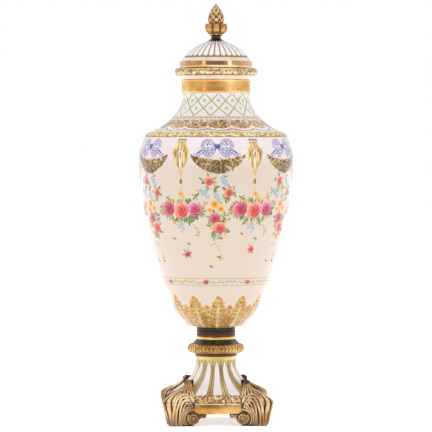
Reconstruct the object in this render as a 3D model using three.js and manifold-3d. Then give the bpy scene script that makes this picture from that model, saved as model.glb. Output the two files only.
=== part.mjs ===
// Lidded floor vase of gilt porcelain: a tall urn on a fluted square foot with leaf-carved corners.
// Millimetres, Z up. The origin lies on the ground under the middle of the foot.
import * as THREE from 'three';
import Module from 'manifold-3d';
import { mergeVertices } from 'three/addons/utils/BufferGeometryUtils.js';

const wasm = await Module();
wasm.setup();

// Fits between the pieces
const JOINT_GAP = 0.3;          // between two pieces that rest on one another
const LID_PLAY = 1.2;           // between the lid's skirt and the mouth, all round

// Foot, from the ground up
const LEG_HEIGHT = 23;          // ground to the underside of the rail
const RAIL_HEIGHT = 21;
const FRIEZE_HEIGHT = 15;
const FLARE_HEIGHT = 66;        // the fluted flare
const NECKING_HEIGHT = 13;      // plain ring above the flutes
const GARLAND_HEIGHT = 19;      // the laurel torus
const SCOTIA_HEIGHT = 8.6;      // hollow moulding under the body
const RAIL_REACH = 94;          // axis to the face of the rail
const FRIEZE_REACH = 89;        // axis to the face of the frieze
const FLARE_REACH = 85;         // axis to the flare's foot, at the middle of a side
const FLARE_CORNER = 8;         // how much further the flare's foot reaches at its corners
const FLARE_TOP_RADIUS = 41;
const NECKING_RADIUS = 42.5;
const GARLAND_RADIUS = 57;
const GARLAND_BULGE = 9;        // how far the torus stands out from the moulding behind it
const FLUTE_COUNT = 16;
const FLUTE_DEPTH = 3;
const LEAF_BULGE = 11.5;        // how far a corner leaf swells past the rail
const LEAF_RIB = 2;             // relief of the leaf's ribs
const LEAF_RISE = 29;           // how far the leaf's tip rises above the frieze
const LEG_WIDTH = 44;           // along a side, where the leg meets the ground
const BRACKET_LENGTH = 27;      // from the leg to the tip of the bracket under the rail
const VOLUTE_RADIUS = 14;
const VOLUTE_PROUD = 4;         // how far a volute stands out from the rail
const CURL_RADIUS = 7;          // curled leaf end over the end of the rail
const CURL_PROUD = 9;           // how far it stands out from the rail
const FOOT_WALL = 11;
const FOOT_ROOF = 14;           // solid top of the foot, over its hollow

// Body, from the joint with the foot up
const COLLAR_RADIUS = 39.5;
const COLLAR_BAND_HEIGHT = 6.3;
const REED_HEIGHT = 5.8;
const REED_COUNT = 3;
const REED_BULGE = 1;
const BELLY_HEIGHT = 380;
const BELLY_RADIUS = 153.5;
const EDGE_RADIUS = 142;        // the gilt edge between belly and shoulder
const EDGE_HEIGHT = 8;
const EDGE_SLOPE = 5;           // how far the edge leans in towards the shoulder
const SHOULDER_HEIGHT = 70;     // from the gilt edge to the waist of the neck
const NECK_RADIUS = 66;
const NECK_RISE = 10;           // from the waist to the gilt band
const NECK_FLARE = 1;
const BAND_HEIGHT = 22;
const BAND_PROUD = 1.5;
const CAVETTO_HEIGHT = 12;
const RIM_RADIUS = 82.5;
const RIM_HEIGHT = 15;
const RIM_BULGE = 5;
const BODY_WALL = 8;
const BODY_FLOOR = 14;

// Lid, from its seat on the rim up
const LID_RADIUS = 72;
const LID_BAND_HEIGHT = 14.4;
const LID_BAND_BULGE = 2;
const LID_FILLET_HEIGHT = 6;
const DOME_RADIUS = 66;
const DOME_HEIGHT = 37;
const LOBE_COUNT = 32;
const LOBE_DEPTH = 3;
const SKIRT_DEPTH = 14;
const SKIRT_WALL = 5;
const LID_WALL = 6;
const FINIAL_HEIGHT = 72;
const STEM_RADIUS = 10;
const CALYX_RADIUS = 22;
const BUD_RADIUS = 16;
const STEM_SINK = 4;            // how deep the finial's foot is sunk in the dome

// Fineness of the faceted forms
const TURNED_SIDES = 32;
const HOLLOW_SIDES = 20;
const FOOT_HOLLOW_SIDES = 16;
const FINIAL_SIDES = 16;
const POINTS_PER_FLUTE = 3;
const POINTS_PER_LOBE = 2;
const BLEND = 1;                // how deep one form is sunk into the next where they are joined
const OVERRUN = 5;              // how far a cut runs past the face it opens

// Levels
const railBottom = LEG_HEIGHT;
const railTop = railBottom + RAIL_HEIGHT;
const friezeTop = railTop + FRIEZE_HEIGHT;
const flareTop = friezeTop + FLARE_HEIGHT;
const neckingTop = flareTop + NECKING_HEIGHT;
const garlandTop = neckingTop + GARLAND_HEIGHT;
const footTop = garlandTop + SCOTIA_HEIGHT;
const bodyBottom = footTop + JOINT_GAP;
const reedBottom = bodyBottom + COLLAR_BAND_HEIGHT;
const bellyBottom = reedBottom + REED_COUNT * REED_HEIGHT;
const edgeBottom = bellyBottom + BELLY_HEIGHT;
const edgeTop = edgeBottom + EDGE_HEIGHT;
const neckWaist = edgeTop + SHOULDER_HEIGHT;
const bandBottom = neckWaist + NECK_RISE;
const bandTop = bandBottom + BAND_HEIGHT;
const rimBottom = bandTop + CAVETTO_HEIGHT;
const bodyTop = rimBottom + RIM_HEIGHT;
const lidSeat = bodyTop + JOINT_GAP;
const lidBandTop = lidSeat + LID_BAND_HEIGHT;
const domeBottom = lidBandTop + LID_FILLET_HEIGHT;
const domeTop = domeBottom + DOME_HEIGHT;
const mouthRadius = NECK_RADIUS - BODY_WALL;
const skirtRadius = mouthRadius - LID_PLAY;

// Materials
const porcelain = new THREE.MeshStandardMaterial({ color: 0xe9dfd6, roughness: 0.22, metalness: 0 });
const gilding = new THREE.MeshStandardMaterial({ color: 0xc8964f, roughness: 0.35, metalness: 0.8 });
const lidGlaze = new THREE.MeshStandardMaterial({ color: 0xe4cfa8, roughness: 0.28, metalness: 0.2 });

// Closed form through rings of points, each ring counterclockwise seen from above, from the lowest up.
// The first and the last ring are closed by a fan round the middle of the ring.
function loft(rings) {
  const count = rings[0].length;
  const points = rings.flat();
  const triangles = [];
  const corner = (level, index) => level * count + (index % count);
  for (let level = 1; level < rings.length; level += 1) {
    for (let index = 0; index < count; index += 1) {
      const low = [corner(level - 1, index), corner(level - 1, index + 1)];
      const high = [corner(level, index), corner(level, index + 1)];
      triangles.push(low[0], low[1], high[1], low[0], high[1], high[0]);
    }
  }
  const middle = (ring) => ring.reduce((sum, point) => sum.add(point), new THREE.Vector3())
    .divideScalar(count);
  const last = rings.length - 1;
  const lowest = points.push(middle(rings[0])) - 1;
  const highest = points.push(middle(rings[last])) - 1;
  for (let index = 0; index < count; index += 1) {
    triangles.push(lowest, corner(0, index + 1), corner(0, index));
    triangles.push(highest, corner(last, index), corner(last, index + 1));
  }
  const geometry = new THREE.BufferGeometry().setFromPoints(points);
  geometry.setIndex(triangles);
  return geometry;
}

// Solid of a closed geometry, ready to be joined or cut.
function solid(geometry) {
  geometry.deleteAttribute('normal');
  geometry.deleteAttribute('uv');
  const merged = mergeVertices(geometry, 1e-4);
  return new wasm.Manifold(new wasm.Mesh({
    numProp: 3,
    vertProperties: new Float32Array(merged.attributes.position.array),
    triVerts: new Uint32Array(merged.index.array),
  }));
}

function namedMesh(name, form, material) {
  const { vertProperties, triVerts } = form.getMesh();
  const geometry = new THREE.BufferGeometry();
  geometry.setAttribute('position', new THREE.BufferAttribute(vertProperties, 3));
  geometry.setIndex(new THREE.BufferAttribute(triVerts, 1));
  geometry.computeVertexNormals();
  const mesh = new THREE.Mesh(geometry, material);
  mesh.name = name;
  return mesh;
}

// Ring at one level, whose reach from the axis may change with the angle. The phase turns its points
// by a share of one step.
function ringAt(z, sides, reach, phase = 0) {
  return Array.from({ length: sides }, (_, index) => {
    const angle = ((index + phase) / sides) * 2 * Math.PI;
    const radius = reach(angle);
    return new THREE.Vector3(radius * Math.cos(angle), radius * Math.sin(angle), z);
  });
}

// Turned form of an outline of [radius, level] points, from the underside up.
function turned(outline, sides) {
  return solid(loft(outline.map(([radius, z]) => ringAt(z, sides, () => radius))));
}

// Round moulding that swells outwards, or inwards where the bulge is negative.
function bead(radius, low, high, bulge, steps) {
  return Array.from({ length: steps + 1 }, (_, index) => {
    const angle = (index / steps) * Math.PI;
    return [radius + bulge * Math.sin(angle), low + (high - low) * (1 - Math.cos(angle)) / 2];
  });
}

// Smooth outline through a few [radius, level] knots.
function smooth(knots, steps) {
  const curve = new THREE.SplineCurve(knots.map(([radius, z]) => new THREE.Vector2(radius, z)));
  return curve.getPoints(steps).map((point) => [point.x, point.y]);
}

// The same outline moved inwards by a wall.
function inset(outline, wall) {
  return outline.map(([radius, z], index) => {
    const before = outline[Math.max(index - 1, 0)];
    const after = outline[Math.min(index + 1, outline.length - 1)];
    const run = new THREE.Vector2(after[0] - before[0], after[1] - before[1]).normalize();
    return [radius - wall * run.y, z + wall * run.x];
  });
}

// Belly, as shares of its height and of its swell past the collar.
const BELLY_FORM = [
  [0, 0.03], [0.009, 0.14], [0.03, 0.21], [0.07, 0.33], [0.132, 0.45], [0.3, 0.667], [0.491, 0.845],
  [0.7, 0.967], [0.905, 1],
];

function bellyOutline(stepsPerKnot) {
  const swell = BELLY_RADIUS - COLLAR_RADIUS;
  const knots = BELLY_FORM.map(([rise, share]) => [
    COLLAR_RADIUS + swell * share, bellyBottom + BELLY_HEIGHT * rise,
  ]);
  const roll = BELLY_RADIUS - EDGE_RADIUS;
  knots.push([EDGE_RADIUS + roll * 0.6, bellyBottom + BELLY_HEIGHT * 0.953]);
  knots.push([EDGE_RADIUS, edgeBottom]);
  return smooth(knots, stepsPerKnot * (knots.length - 1));
}

// Shoulder and neck in one hollow sweep, from the gilt edge to the waist of the neck.
function shoulderOutline(steps) {
  const start = new THREE.Vector2(EDGE_RADIUS - EDGE_SLOPE, edgeTop);
  const end = new THREE.Vector2(NECK_RADIUS, neckWaist);
  const bend = new THREE.Vector2(
    THREE.MathUtils.lerp(start.x, end.x, 0.82),
    THREE.MathUtils.lerp(start.y, end.y, 0.3),
  );
  const curve = new THREE.QuadraticBezierCurve(start, bend, end);
  return curve.getPoints(steps).map((point) => [point.x, point.y]);
}

function reedOutline() {
  return Array.from({ length: REED_COUNT }, (_, index) => {
    const low = reedBottom + index * REED_HEIGHT;
    return bead(COLLAR_RADIUS - REED_BULGE, low, low + REED_HEIGHT, REED_BULGE, 2).slice(0, 2);
  }).flat();
}

// Band, hollow moulding and round rim at the top of the neck.
function rimOutline() {
  const band = NECK_RADIUS + NECK_FLARE + BAND_PROUD;
  const lip = RIM_RADIUS - RIM_BULGE;
  const cavetto = [0.35, 0.75, 1].map((share) => [
    THREE.MathUtils.lerp(band, lip, share ** 2), THREE.MathUtils.lerp(bandTop, rimBottom, share),
  ]);
  return [
    [NECK_RADIUS + NECK_FLARE, bandBottom],
    [band, bandBottom + BAND_PROUD],
    [band, bandTop],
    ...cavetto,
    ...bead(lip, rimBottom, bodyTop, RIM_BULGE, 4).slice(1),
  ];
}

// Hollow of the body, open at the mouth.
function bodyHollow() {
  const belly = inset(bellyOutline(1), BODY_WALL).slice(1, -1);
  const shoulder = inset(shoulderOutline(4), BODY_WALL).slice(1);
  const floor = bellyBottom + BODY_FLOOR;
  const above = belly.filter(([, z]) => z > floor + BODY_WALL);
  const hollow = [[above[0][0] * 0.6, floor], ...above, ...shoulder];
  return turned([...hollow, [mouthRadius, bodyTop + OVERRUN]], HOLLOW_SIDES);
}

function makeBody() {
  const outline = [
    [COLLAR_RADIUS - REED_BULGE, bodyBottom],
    [COLLAR_RADIUS + REED_BULGE / 2, bodyBottom + 0.2 * COLLAR_BAND_HEIGHT],
    [COLLAR_RADIUS + REED_BULGE / 2, bodyBottom + 0.8 * COLLAR_BAND_HEIGHT],
    ...reedOutline(),
    ...bellyOutline(1),
    [EDGE_RADIUS - 0.3 * EDGE_SLOPE, (edgeBottom + edgeTop) / 2],
    ...shoulderOutline(5),
    ...rimOutline(),
  ];
  return namedMesh('body', turned(outline, TURNED_SIDES).subtract(bodyHollow()), porcelain);
}

// Dome of the lid: radius at a share of its height.
function domeRadius(radius, share) {
  const fullness = 1.45;
  return radius * (1 - share ** fullness) ** (1 / fullness);
}

// Round lobes, as a share from 0 in the groove to 1 on the crest.
function crest(angle, count) {
  return Math.abs(Math.cos((angle * count) / 2)) ** 0.5;
}

function lobedDome() {
  const sides = LOBE_COUNT * POINTS_PER_LOBE;
  const shares = [0, 0.2, 0.42, 0.62, 0.8, 0.95];
  const rings = shares.map((share) => {
    const radius = domeRadius(DOME_RADIUS, share);
    const depth = LOBE_DEPTH * (1 - share);
    const reach = (angle) => radius - depth * (1 - crest(angle, LOBE_COUNT));
    return ringAt(domeBottom + DOME_HEIGHT * share, sides, reach);
  });
  const below = ringAt(domeBottom - BLEND, sides, () => DOME_RADIUS - LOBE_DEPTH);
  return solid(loft([below, ...rings]));
}

// Band and skirt of the lid.
function lidRing() {
  return turned([
    [skirtRadius - BLEND, lidSeat - SKIRT_DEPTH],
    [skirtRadius, lidSeat - SKIRT_DEPTH + BLEND],
    [skirtRadius, lidSeat],
    ...bead(LID_RADIUS - LID_BAND_BULGE, lidSeat, lidBandTop, LID_BAND_BULGE, 4),
    [DOME_RADIUS + BLEND, lidBandTop + BLEND],
    [DOME_RADIUS, domeBottom],
  ], TURNED_SIDES);
}

// Stem, leafy calyx and scaled bud, fired in one with the lid.
function finial() {
  const low = domeTop - STEM_SINK;
  const level = (share) => low + (FINIAL_HEIGHT + STEM_SINK) * share;
  const leaf = 2 * Math.PI / FINIAL_SIDES;
  const ridged = (radius, relief, turn) => (angle) => (
    radius - (Math.round(angle / leaf + turn) % 2 ? relief : 0)
  );
  const stem = [[0, 1.7], [0.05, 1.25], [0.12, 1], [0.17, 1.3]];
  const calyx = [[0.21, 0.73, 0.06], [0.27, 0.95, 0.1], [0.36, 1.03, 0.14], [0.45, 0.97, 0.2]];
  const bud = [0.46, 0.54, 0.63, 0.72, 0.81, 0.9, 0.97];
  const rings = [
    ...stem.map(([share, factor]) => ringAt(level(share), FINIAL_SIDES, () => STEM_RADIUS * factor)),
    ...calyx.map(([share, factor, relief]) => ringAt(
      level(share), FINIAL_SIDES, ridged(CALYX_RADIUS * factor, CALYX_RADIUS * relief, 0),
    )),
    ...bud.map((share, index) => {
      const height = (share - bud[0]) / (1 - bud[0]);
      const radius = BUD_RADIUS * Math.sin(Math.PI * (0.36 + 0.64 * height)) ** 0.75;
      return ringAt(level(share), FINIAL_SIDES, ridged(radius, 0.12 * radius, index));
    }),
    ringAt(level(1), FINIAL_SIDES, () => 0.08 * BUD_RADIUS),
  ];
  return solid(loft(rings));
}

// Hollow under the lid, open at the skirt.
function lidHollow() {
  const room = DOME_RADIUS - LOBE_DEPTH - LID_WALL;
  const throat = skirtRadius - SKIRT_WALL;
  const dome = [0, 0.3, 0.55, 0.78, 0.94].map((share) => [
    domeRadius(room, share), domeBottom + (DOME_HEIGHT - LID_WALL) * share,
  ]);
  return turned([
    [throat, lidSeat - SKIRT_DEPTH - OVERRUN],
    [throat, lidSeat],
    [room, lidSeat + 0.6 * LID_BAND_HEIGHT],
    ...dome,
  ], HOLLOW_SIDES);
}

function makeLid() {
  const form = lidRing().add(lobedDome()).add(finial()).subtract(lidHollow());
  return namedMesh('lid', form, lidGlaze);
}

// Reach of the foot's section, turning from a circle at the top to a square with drawn-out corners.
function squareReach(half, corner, squareness, angle) {
  const quarter = Math.PI / 2;
  const turn = angle - Math.round(angle / quarter) * quarter;
  const square = (half + corner * Math.tan(turn) ** 2) / Math.cos(turn);
  return THREE.MathUtils.lerp(half, square, squareness);
}

// Flare of the foot, as [half width, level, share] from its foot up. The share runs from 1 to 0.
function flareOutline(steps) {
  return Array.from({ length: steps + 1 }, (_, index) => {
    const share = (1 - index / steps) ** 0.8;
    const half = THREE.MathUtils.lerp(FLARE_TOP_RADIUS, FLARE_REACH, share ** 2.3);
    return [half, flareTop - FLARE_HEIGHT * share, share];
  });
}

function flutedFlare() {
  const sides = FLUTE_COUNT * POINTS_PER_FLUTE;
  const rings = flareOutline(6).map(([half, z, share]) => {
    const depth = FLUTE_DEPTH * Math.min(1, share / 0.2) * Math.min(1, 0.4 + half / FLARE_REACH);
    const corner = FLARE_CORNER * share;
    const groove = (angle) => depth * (1 - crest(angle, FLUTE_COUNT));
    const reach = (angle) => squareReach(half, corner, share, angle) - groove(angle);
    return ringAt(z, sides, reach, 0.5);
  });
  const below = ringAt(friezeTop - BLEND, sides, (angle) => (
    squareReach(FLARE_REACH - FLUTE_DEPTH, 0, 1, angle)
  ), 0.5);
  const above = ringAt(flareTop + BLEND, sides, () => FLARE_TOP_RADIUS, 0.5);
  return solid(loft([below, ...rings, above]));
}

function footMouldings() {
  const behind = GARLAND_RADIUS - GARLAND_BULGE;
  return turned([
    [FLARE_TOP_RADIUS, flareTop],
    [FLARE_TOP_RADIUS, flareTop + 0.5 * NECKING_HEIGHT],
    [NECKING_RADIUS, flareTop + 0.6 * NECKING_HEIGHT],
    [NECKING_RADIUS, neckingTop],
    ...bead(behind, neckingTop, garlandTop, GARLAND_BULGE, 4),
    [THREE.MathUtils.lerp(behind, COLLAR_RADIUS, 0.45), garlandTop + 0.4 * SCOTIA_HEIGHT],
    [COLLAR_RADIUS, footTop],
  ], TURNED_SIDES);
}

function slab(reach, low, high) {
  const box = new THREE.BoxGeometry(2 * reach, 2 * reach, high - low);
  return solid(box.translate(0, 0, (low + high) / 2));
}

// Corner leaf from the ground to its curled tip, as shares of the leaf's height.
// Each row: rise, swell past the rail at the corner and on the faces, and width along the side.
const LEAF_FORM = [
  [0, 0.3, -0.1, 0.94], [0.08, 0.53, 0.1, 0.98], [0.285, 0.9, 0.25, 1.05], [0.41, 1.2, 0.3, 1.08],
  [0.535, 1.38, 0.3, 1.07], [0.61, 1.15, 0, 0.98], [0.68, 0.35, -0.55, 0.86], [0.74, -0.45, -1.2, 0.72],
  [0.795, -1.5, -1.95, 0.57], [0.865, -2.4, -2.6, 0.43], [0.93, -2.9, -3, 0.33], [1, -3.15, -3.25, 0.23],
];

function cornerLeaf() {
  const height = friezeTop + LEAF_RISE;
  const steps = 5;
  const rings = LEAF_FORM.map(([rise, swell, faceSwell, width]) => {
    const corner = RAIL_REACH + LEAF_BULGE * swell;
    const face = RAIL_REACH + LEAF_BULGE * faceSwell;
    const inner = Math.min(corner, face) - (LEG_WIDTH + 4) * width;
    const z = height * rise;
    const side = Array.from({ length: steps + 1 }, (_, index) => {
      const along = index / steps;
      const rib = LEAF_RIB * (index % 2 ? -1 : 1) * Math.min(1, 6 * rise);
      const soften = 0.05 * LEG_WIDTH * along ** 6;
      return [
        THREE.MathUtils.lerp(face, corner, along) + rib - soften,
        THREE.MathUtils.lerp(inner, corner, along) - soften,
      ];
    });
    const crown = side[steps][0];
    return [
      new THREE.Vector3(inner, inner, z),
      ...side.slice(0, -1).map(([out, along]) => new THREE.Vector3(out, along, z)),
      new THREE.Vector3(crown, crown, z),
      ...side.slice(0, -1).reverse().map(([out, along]) => new THREE.Vector3(along, out, z)),
    ];
  });
  return solid(loft(rings));
}

// Flat form drawn in the plane of a side of the foot, from one depth to another.
function sidePlate(shape, near, far, mirrored) {
  const settings = { depth: far - near, bevelEnabled: false, curveSegments: 3 };
  const geometry = new THREE.ExtrudeGeometry(shape, settings);
  geometry.rotateX(Math.PI / 2);
  geometry.translate(0, -near, 0);
  const plate = solid(geometry);
  return mirrored ? plate.mirror([1, 0, 0]) : plate;
}

// Bracket under the end of the rail, from the leg's inner edge to its small scrolled tip.
function bracketShape() {
  const legEdge = RAIL_REACH - LEG_WIDTH;
  const tip = legEdge - BRACKET_LENGTH;
  const shape = new THREE.Shape();
  shape.moveTo(legEdge + VOLUTE_RADIUS, 0);
  shape.lineTo(legEdge, 0);
  shape.quadraticCurveTo(legEdge - 2, 0.62 * LEG_HEIGHT, tip + 0.25 * BRACKET_LENGTH, 0.75 * LEG_HEIGHT);
  shape.lineTo(tip + 0.08 * BRACKET_LENGTH, 0.68 * LEG_HEIGHT);
  shape.lineTo(tip, 0.85 * LEG_HEIGHT);
  shape.lineTo(tip, LEG_HEIGHT + BLEND);
  shape.lineTo(legEdge + VOLUTE_RADIUS, LEG_HEIGHT + BLEND);
  return shape;
}

// Spiral band of a volute round its eye.
function voluteShape() {
  const turns = 1.5;
  const steps = 9;
  const spiral = (inward) => Array.from({ length: steps + 1 }, (_, index) => {
    const share = index / steps;
    const angle = Math.PI * (0.75 - 2 * turns * share);
    const radius = VOLUTE_RADIUS * (1 - 0.62 * share) * (1 - inward * (0.3 + 0.4 * share));
    return new THREE.Vector2(radius * Math.cos(angle), radius * Math.sin(angle));
  });
  return new THREE.Shape([...spiral(0), ...spiral(1).reverse()]);
}

// Curled leaf end, which stands out from the side that faces -Y.
function curlForm() {
  const sides = 8;
  const rows = [[1, -BLEND], [1, 0.6 * CURL_PROUD], [0.6, CURL_PROUD]];
  const rings = rows.map(([share, out]) => ringAt(RAIL_REACH + out, sides, () => CURL_RADIUS * share));
  return solid(loft(rings)).rotate([90, 0, 0]);
}

// Bracket, volute and curl at one end of a side that faces -Y.
function sideEnd(mirrored) {
  const inside = RAIL_REACH - FOOT_WALL - BLEND;
  const face = RAIL_REACH + VOLUTE_PROUD;
  const place = [(mirrored ? -1 : 1) * (RAIL_REACH - LEG_WIDTH), 0, VOLUTE_RADIUS + 0.12 * LEG_HEIGHT];
  const spiral = sidePlate(voluteShape(), RAIL_REACH - BLEND, face, mirrored).translate(place);
  const curl = curlForm().translate((mirrored ? -1 : 1) * (RAIL_REACH - LEG_WIDTH + 4), 0, railTop - 3);
  return sidePlate(bracketShape(), inside, RAIL_REACH + BLEND, mirrored).add(spiral).add(curl);
}

function footHollow() {
  const flare = flareOutline(5).map(([half, z, share]) => [half - FLUTE_DEPTH, z, share]);
  const walls = inset(flare.map(([half, z]) => [half, z]), FOOT_WALL);
  const plinth = (angle) => squareReach(RAIL_REACH - FOOT_WALL, 0, 1, angle);
  const rings = [
    ringAt(-OVERRUN, FOOT_HOLLOW_SIDES, plinth),
    ringAt(railTop - FOOT_WALL, FOOT_HOLLOW_SIDES, plinth),
    ...walls.map(([half, z], index) => ringAt(
      Math.max(z, railTop - FOOT_WALL / 2), FOOT_HOLLOW_SIDES,
      (angle) => squareReach(half, 0, flare[index][2], angle),
    )),
    ringAt(footTop - FOOT_ROOF, FOOT_HOLLOW_SIDES, () => FLARE_TOP_RADIUS - FLUTE_DEPTH - FOOT_WALL),
  ];
  return solid(loft(rings));
}

function makeFoot() {
  let form = slab(RAIL_REACH, railBottom, railTop)
    .add(slab(FRIEZE_REACH, railTop - BLEND, friezeTop))
    .add(flutedFlare())
    .add(footMouldings());
  for (let side = 0; side < 4; side += 1) {
    const turn = [0, 0, 90 * side];
    form = form.add(cornerLeaf().rotate(turn))
      .add(sideEnd(false).rotate(turn))
      .add(sideEnd(true).rotate(turn));
  }
  return namedMesh('foot', form.subtract(footHollow()), gilding);
}

const vase = new THREE.Group();
vase.name = 'floor_vase';
vase.add(makeFoot(), makeBody(), makeLid());

export default vase;
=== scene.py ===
"""Lidded floor vase of painted and gilt porcelain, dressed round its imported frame.

Forms are worked out in millimetres and turned into metres when their mesh is made. Angles on the vase
are measured from its front, which faces -Y, towards +X.
"""

import math
import random

import bpy
import numpy as np
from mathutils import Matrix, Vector


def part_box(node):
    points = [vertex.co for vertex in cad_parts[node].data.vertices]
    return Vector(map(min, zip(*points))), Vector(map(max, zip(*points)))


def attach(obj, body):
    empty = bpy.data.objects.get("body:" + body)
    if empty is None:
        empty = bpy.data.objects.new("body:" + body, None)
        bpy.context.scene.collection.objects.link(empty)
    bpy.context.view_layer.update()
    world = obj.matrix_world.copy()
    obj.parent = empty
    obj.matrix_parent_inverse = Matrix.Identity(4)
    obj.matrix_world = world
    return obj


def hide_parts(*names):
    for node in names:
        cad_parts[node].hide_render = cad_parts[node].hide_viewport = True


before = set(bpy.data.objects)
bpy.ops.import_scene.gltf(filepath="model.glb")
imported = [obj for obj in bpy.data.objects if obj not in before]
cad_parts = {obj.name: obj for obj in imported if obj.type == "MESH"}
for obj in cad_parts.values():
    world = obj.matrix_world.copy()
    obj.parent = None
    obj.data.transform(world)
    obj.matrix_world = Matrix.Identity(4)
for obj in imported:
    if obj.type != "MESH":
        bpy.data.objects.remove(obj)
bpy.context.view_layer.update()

MM = 0.001
FULL_TURN = 2 * math.pi


def box_mm(node):
    low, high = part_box(node)
    return np.array(low) / MM, np.array(high) / MM


FOOT_LOW, FOOT_HIGH = box_mm("foot")
BODY_LOW, BODY_HIGH = box_mm("body")
LID_LOW, LID_HIGH = box_mm("lid")

# Body, from the joint with the foot up
COLLAR_RADIUS = 39.5
COLLAR_BAND_HEIGHT = 6.3
REED_HEIGHT = 5.8
REED_COUNT = 3
REED_BULGE = 1.0
BELLY_HEIGHT = 380.0
BELLY_RADIUS = BODY_HIGH[0]
EDGE_RADIUS = 142.0
EDGE_HEIGHT = 8.0
EDGE_SLOPE = 5.0
SHOULDER_HEIGHT = 70.0
NECK_RADIUS = 66.0
NECK_RISE = 10.0
NECK_FLARE = 1.0
BAND_HEIGHT = 22.0
BAND_PROUD = 1.5
CAVETTO_HEIGHT = 12.0
RIM_RADIUS = 82.5
RIM_HEIGHT = 15.0
RIM_BULGE = 5.0
BODY_WALL = 8.0
BODY_FLOOR = 14.0
BELLY_FORM = [
    (0, 0.03), (0.009, 0.14), (0.03, 0.21), (0.07, 0.33), (0.132, 0.45), (0.3, 0.667), (0.491, 0.845),
    (0.7, 0.967), (0.905, 1),
]

# Lid, from its seat on the rim up
LID_RADIUS = LID_HIGH[0]
LID_BAND_HEIGHT = 14.4
LID_BAND_BULGE = 2.0
LID_FILLET_HEIGHT = 6.0
DOME_RADIUS = 66.0
DOME_HEIGHT = 37.0
DOME_FULLNESS = 1.45
LOBE_COUNT = 32
LOBE_DEPTH = 3.0
SKIRT_DEPTH = 14.0
SKIRT_WALL = 5.0
LID_WALL = 6.0
LID_PLAY = 1.2
BUD_RADIUS = 16.0
CALYX_HEIGHT = 22.0
CALYX_SHARE = 0.19                  # of the finial's height, below the calyx
BUD_SHARE = 0.458
CALYX_LEAVES = 8
CALYX_VEINS = 40
SCALE_COLUMNS = 7
SCALE_ROWS = 3.2
STEM_SINK = 4.0

# Foot, from the ground up
LEG_HEIGHT = 23.0
RAIL_HEIGHT = 21.0
FRIEZE_HEIGHT = 15.0
FLARE_HEIGHT = 66.0
NECKING_HEIGHT = 13.0
GARLAND_HEIGHT = 19.0
RAIL_REACH = 94.0
FRIEZE_REACH = 89.0
FRIEZE_PITCH = 11.5
FLARE_REACH = 85.0
FLARE_CORNER = 8.0
FLARE_TOP_RADIUS = 41.0
NECKING_RADIUS = 42.5
GARLAND_RADIUS = 57.0
GARLAND_BULGE = 9.0
GARLAND_LEAVES = 5.5                # in half a quarter of the ring
FLUTE_COUNT = 16
FLUTE_DEPTH = 3.0
FOOT_WALL = 11.0
FOOT_ROOF = 14.0
LEAF_ROWS = [
    # rise, swell at the corner, swell on the faces, width
    (0, 0.3, -0.1, 0.94), (0.08, 0.53, 0.1, 0.98), (0.285, 0.9, 0.25, 1.05), (0.41, 1.2, 0.3, 1.08),
    (0.535, 1.38, 0.3, 1.07), (0.61, 1.15, 0, 0.96), (0.68, 0.35, -0.55, 0.78), (0.74, -0.45, -1.2, 0.6),
    (0.795, -1.5, -1.95, 0.45), (0.865, -2.4, -2.6, 0.33), (0.93, -2.9, -3, 0.26), (1, -3.15, -3.25, 0.19),
]
LEAF_BULGE = 11.5
LEAF_RIB = 2.0
LEAF_RISE = 29.0
LEG_WIDTH = 44.0
BRACKET_LENGTH = 27.0
VOLUTE_RADIUS = 14.0
LEAF_STRANDS = 5

# Fineness of the meshes
BODY_COLUMNS = 272
LID_COLUMNS = 480
FOOT_COLUMNS = 528
GARLAND_STEPS = 30
LEAF_LEVELS = 96
LEAF_COLUMNS = 47                   # on each of its two faces
SHARP_ANGLE = math.radians(38)
TINY = 1e-6                         # keeps a width from being nought and finds the poles

# Levels
rail_bottom = LEG_HEIGHT
rail_top = rail_bottom + RAIL_HEIGHT
frieze_top = rail_top + FRIEZE_HEIGHT
hollow_shoulder = rail_top - FOOT_WALL / 2
flare_top = frieze_top + FLARE_HEIGHT
necking_top = flare_top + NECKING_HEIGHT
garland_top = necking_top + GARLAND_HEIGHT
foot_top = FOOT_HIGH[2]
leaf_height = frieze_top + LEAF_RISE
leg_edge = RAIL_REACH - LEG_WIDTH
bracket_tip = leg_edge - BRACKET_LENGTH
bracket_level = 0.85 * LEG_HEIGHT
body_bottom = BODY_LOW[2]
reed_bottom = body_bottom + COLLAR_BAND_HEIGHT
belly_bottom = reed_bottom + REED_COUNT * REED_HEIGHT
edge_bottom = belly_bottom + BELLY_HEIGHT
edge_top = edge_bottom + EDGE_HEIGHT
neck_waist = edge_top + SHOULDER_HEIGHT
band_bottom = neck_waist + NECK_RISE
band_top = band_bottom + BAND_HEIGHT
rim_bottom = band_top + CAVETTO_HEIGHT
body_top = BODY_HIGH[2]
mouth_radius = NECK_RADIUS - BODY_WALL
skirt_radius = mouth_radius - LID_PLAY
lid_seat = LID_LOW[2] + SKIRT_DEPTH
lid_band_top = lid_seat + LID_BAND_HEIGHT
dome_bottom = lid_band_top + LID_FILLET_HEIGHT
dome_top = dome_bottom + DOME_HEIGHT
finial_bottom = dome_top - STEM_SINK
finial_height = LID_HIGH[2] - finial_bottom

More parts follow.
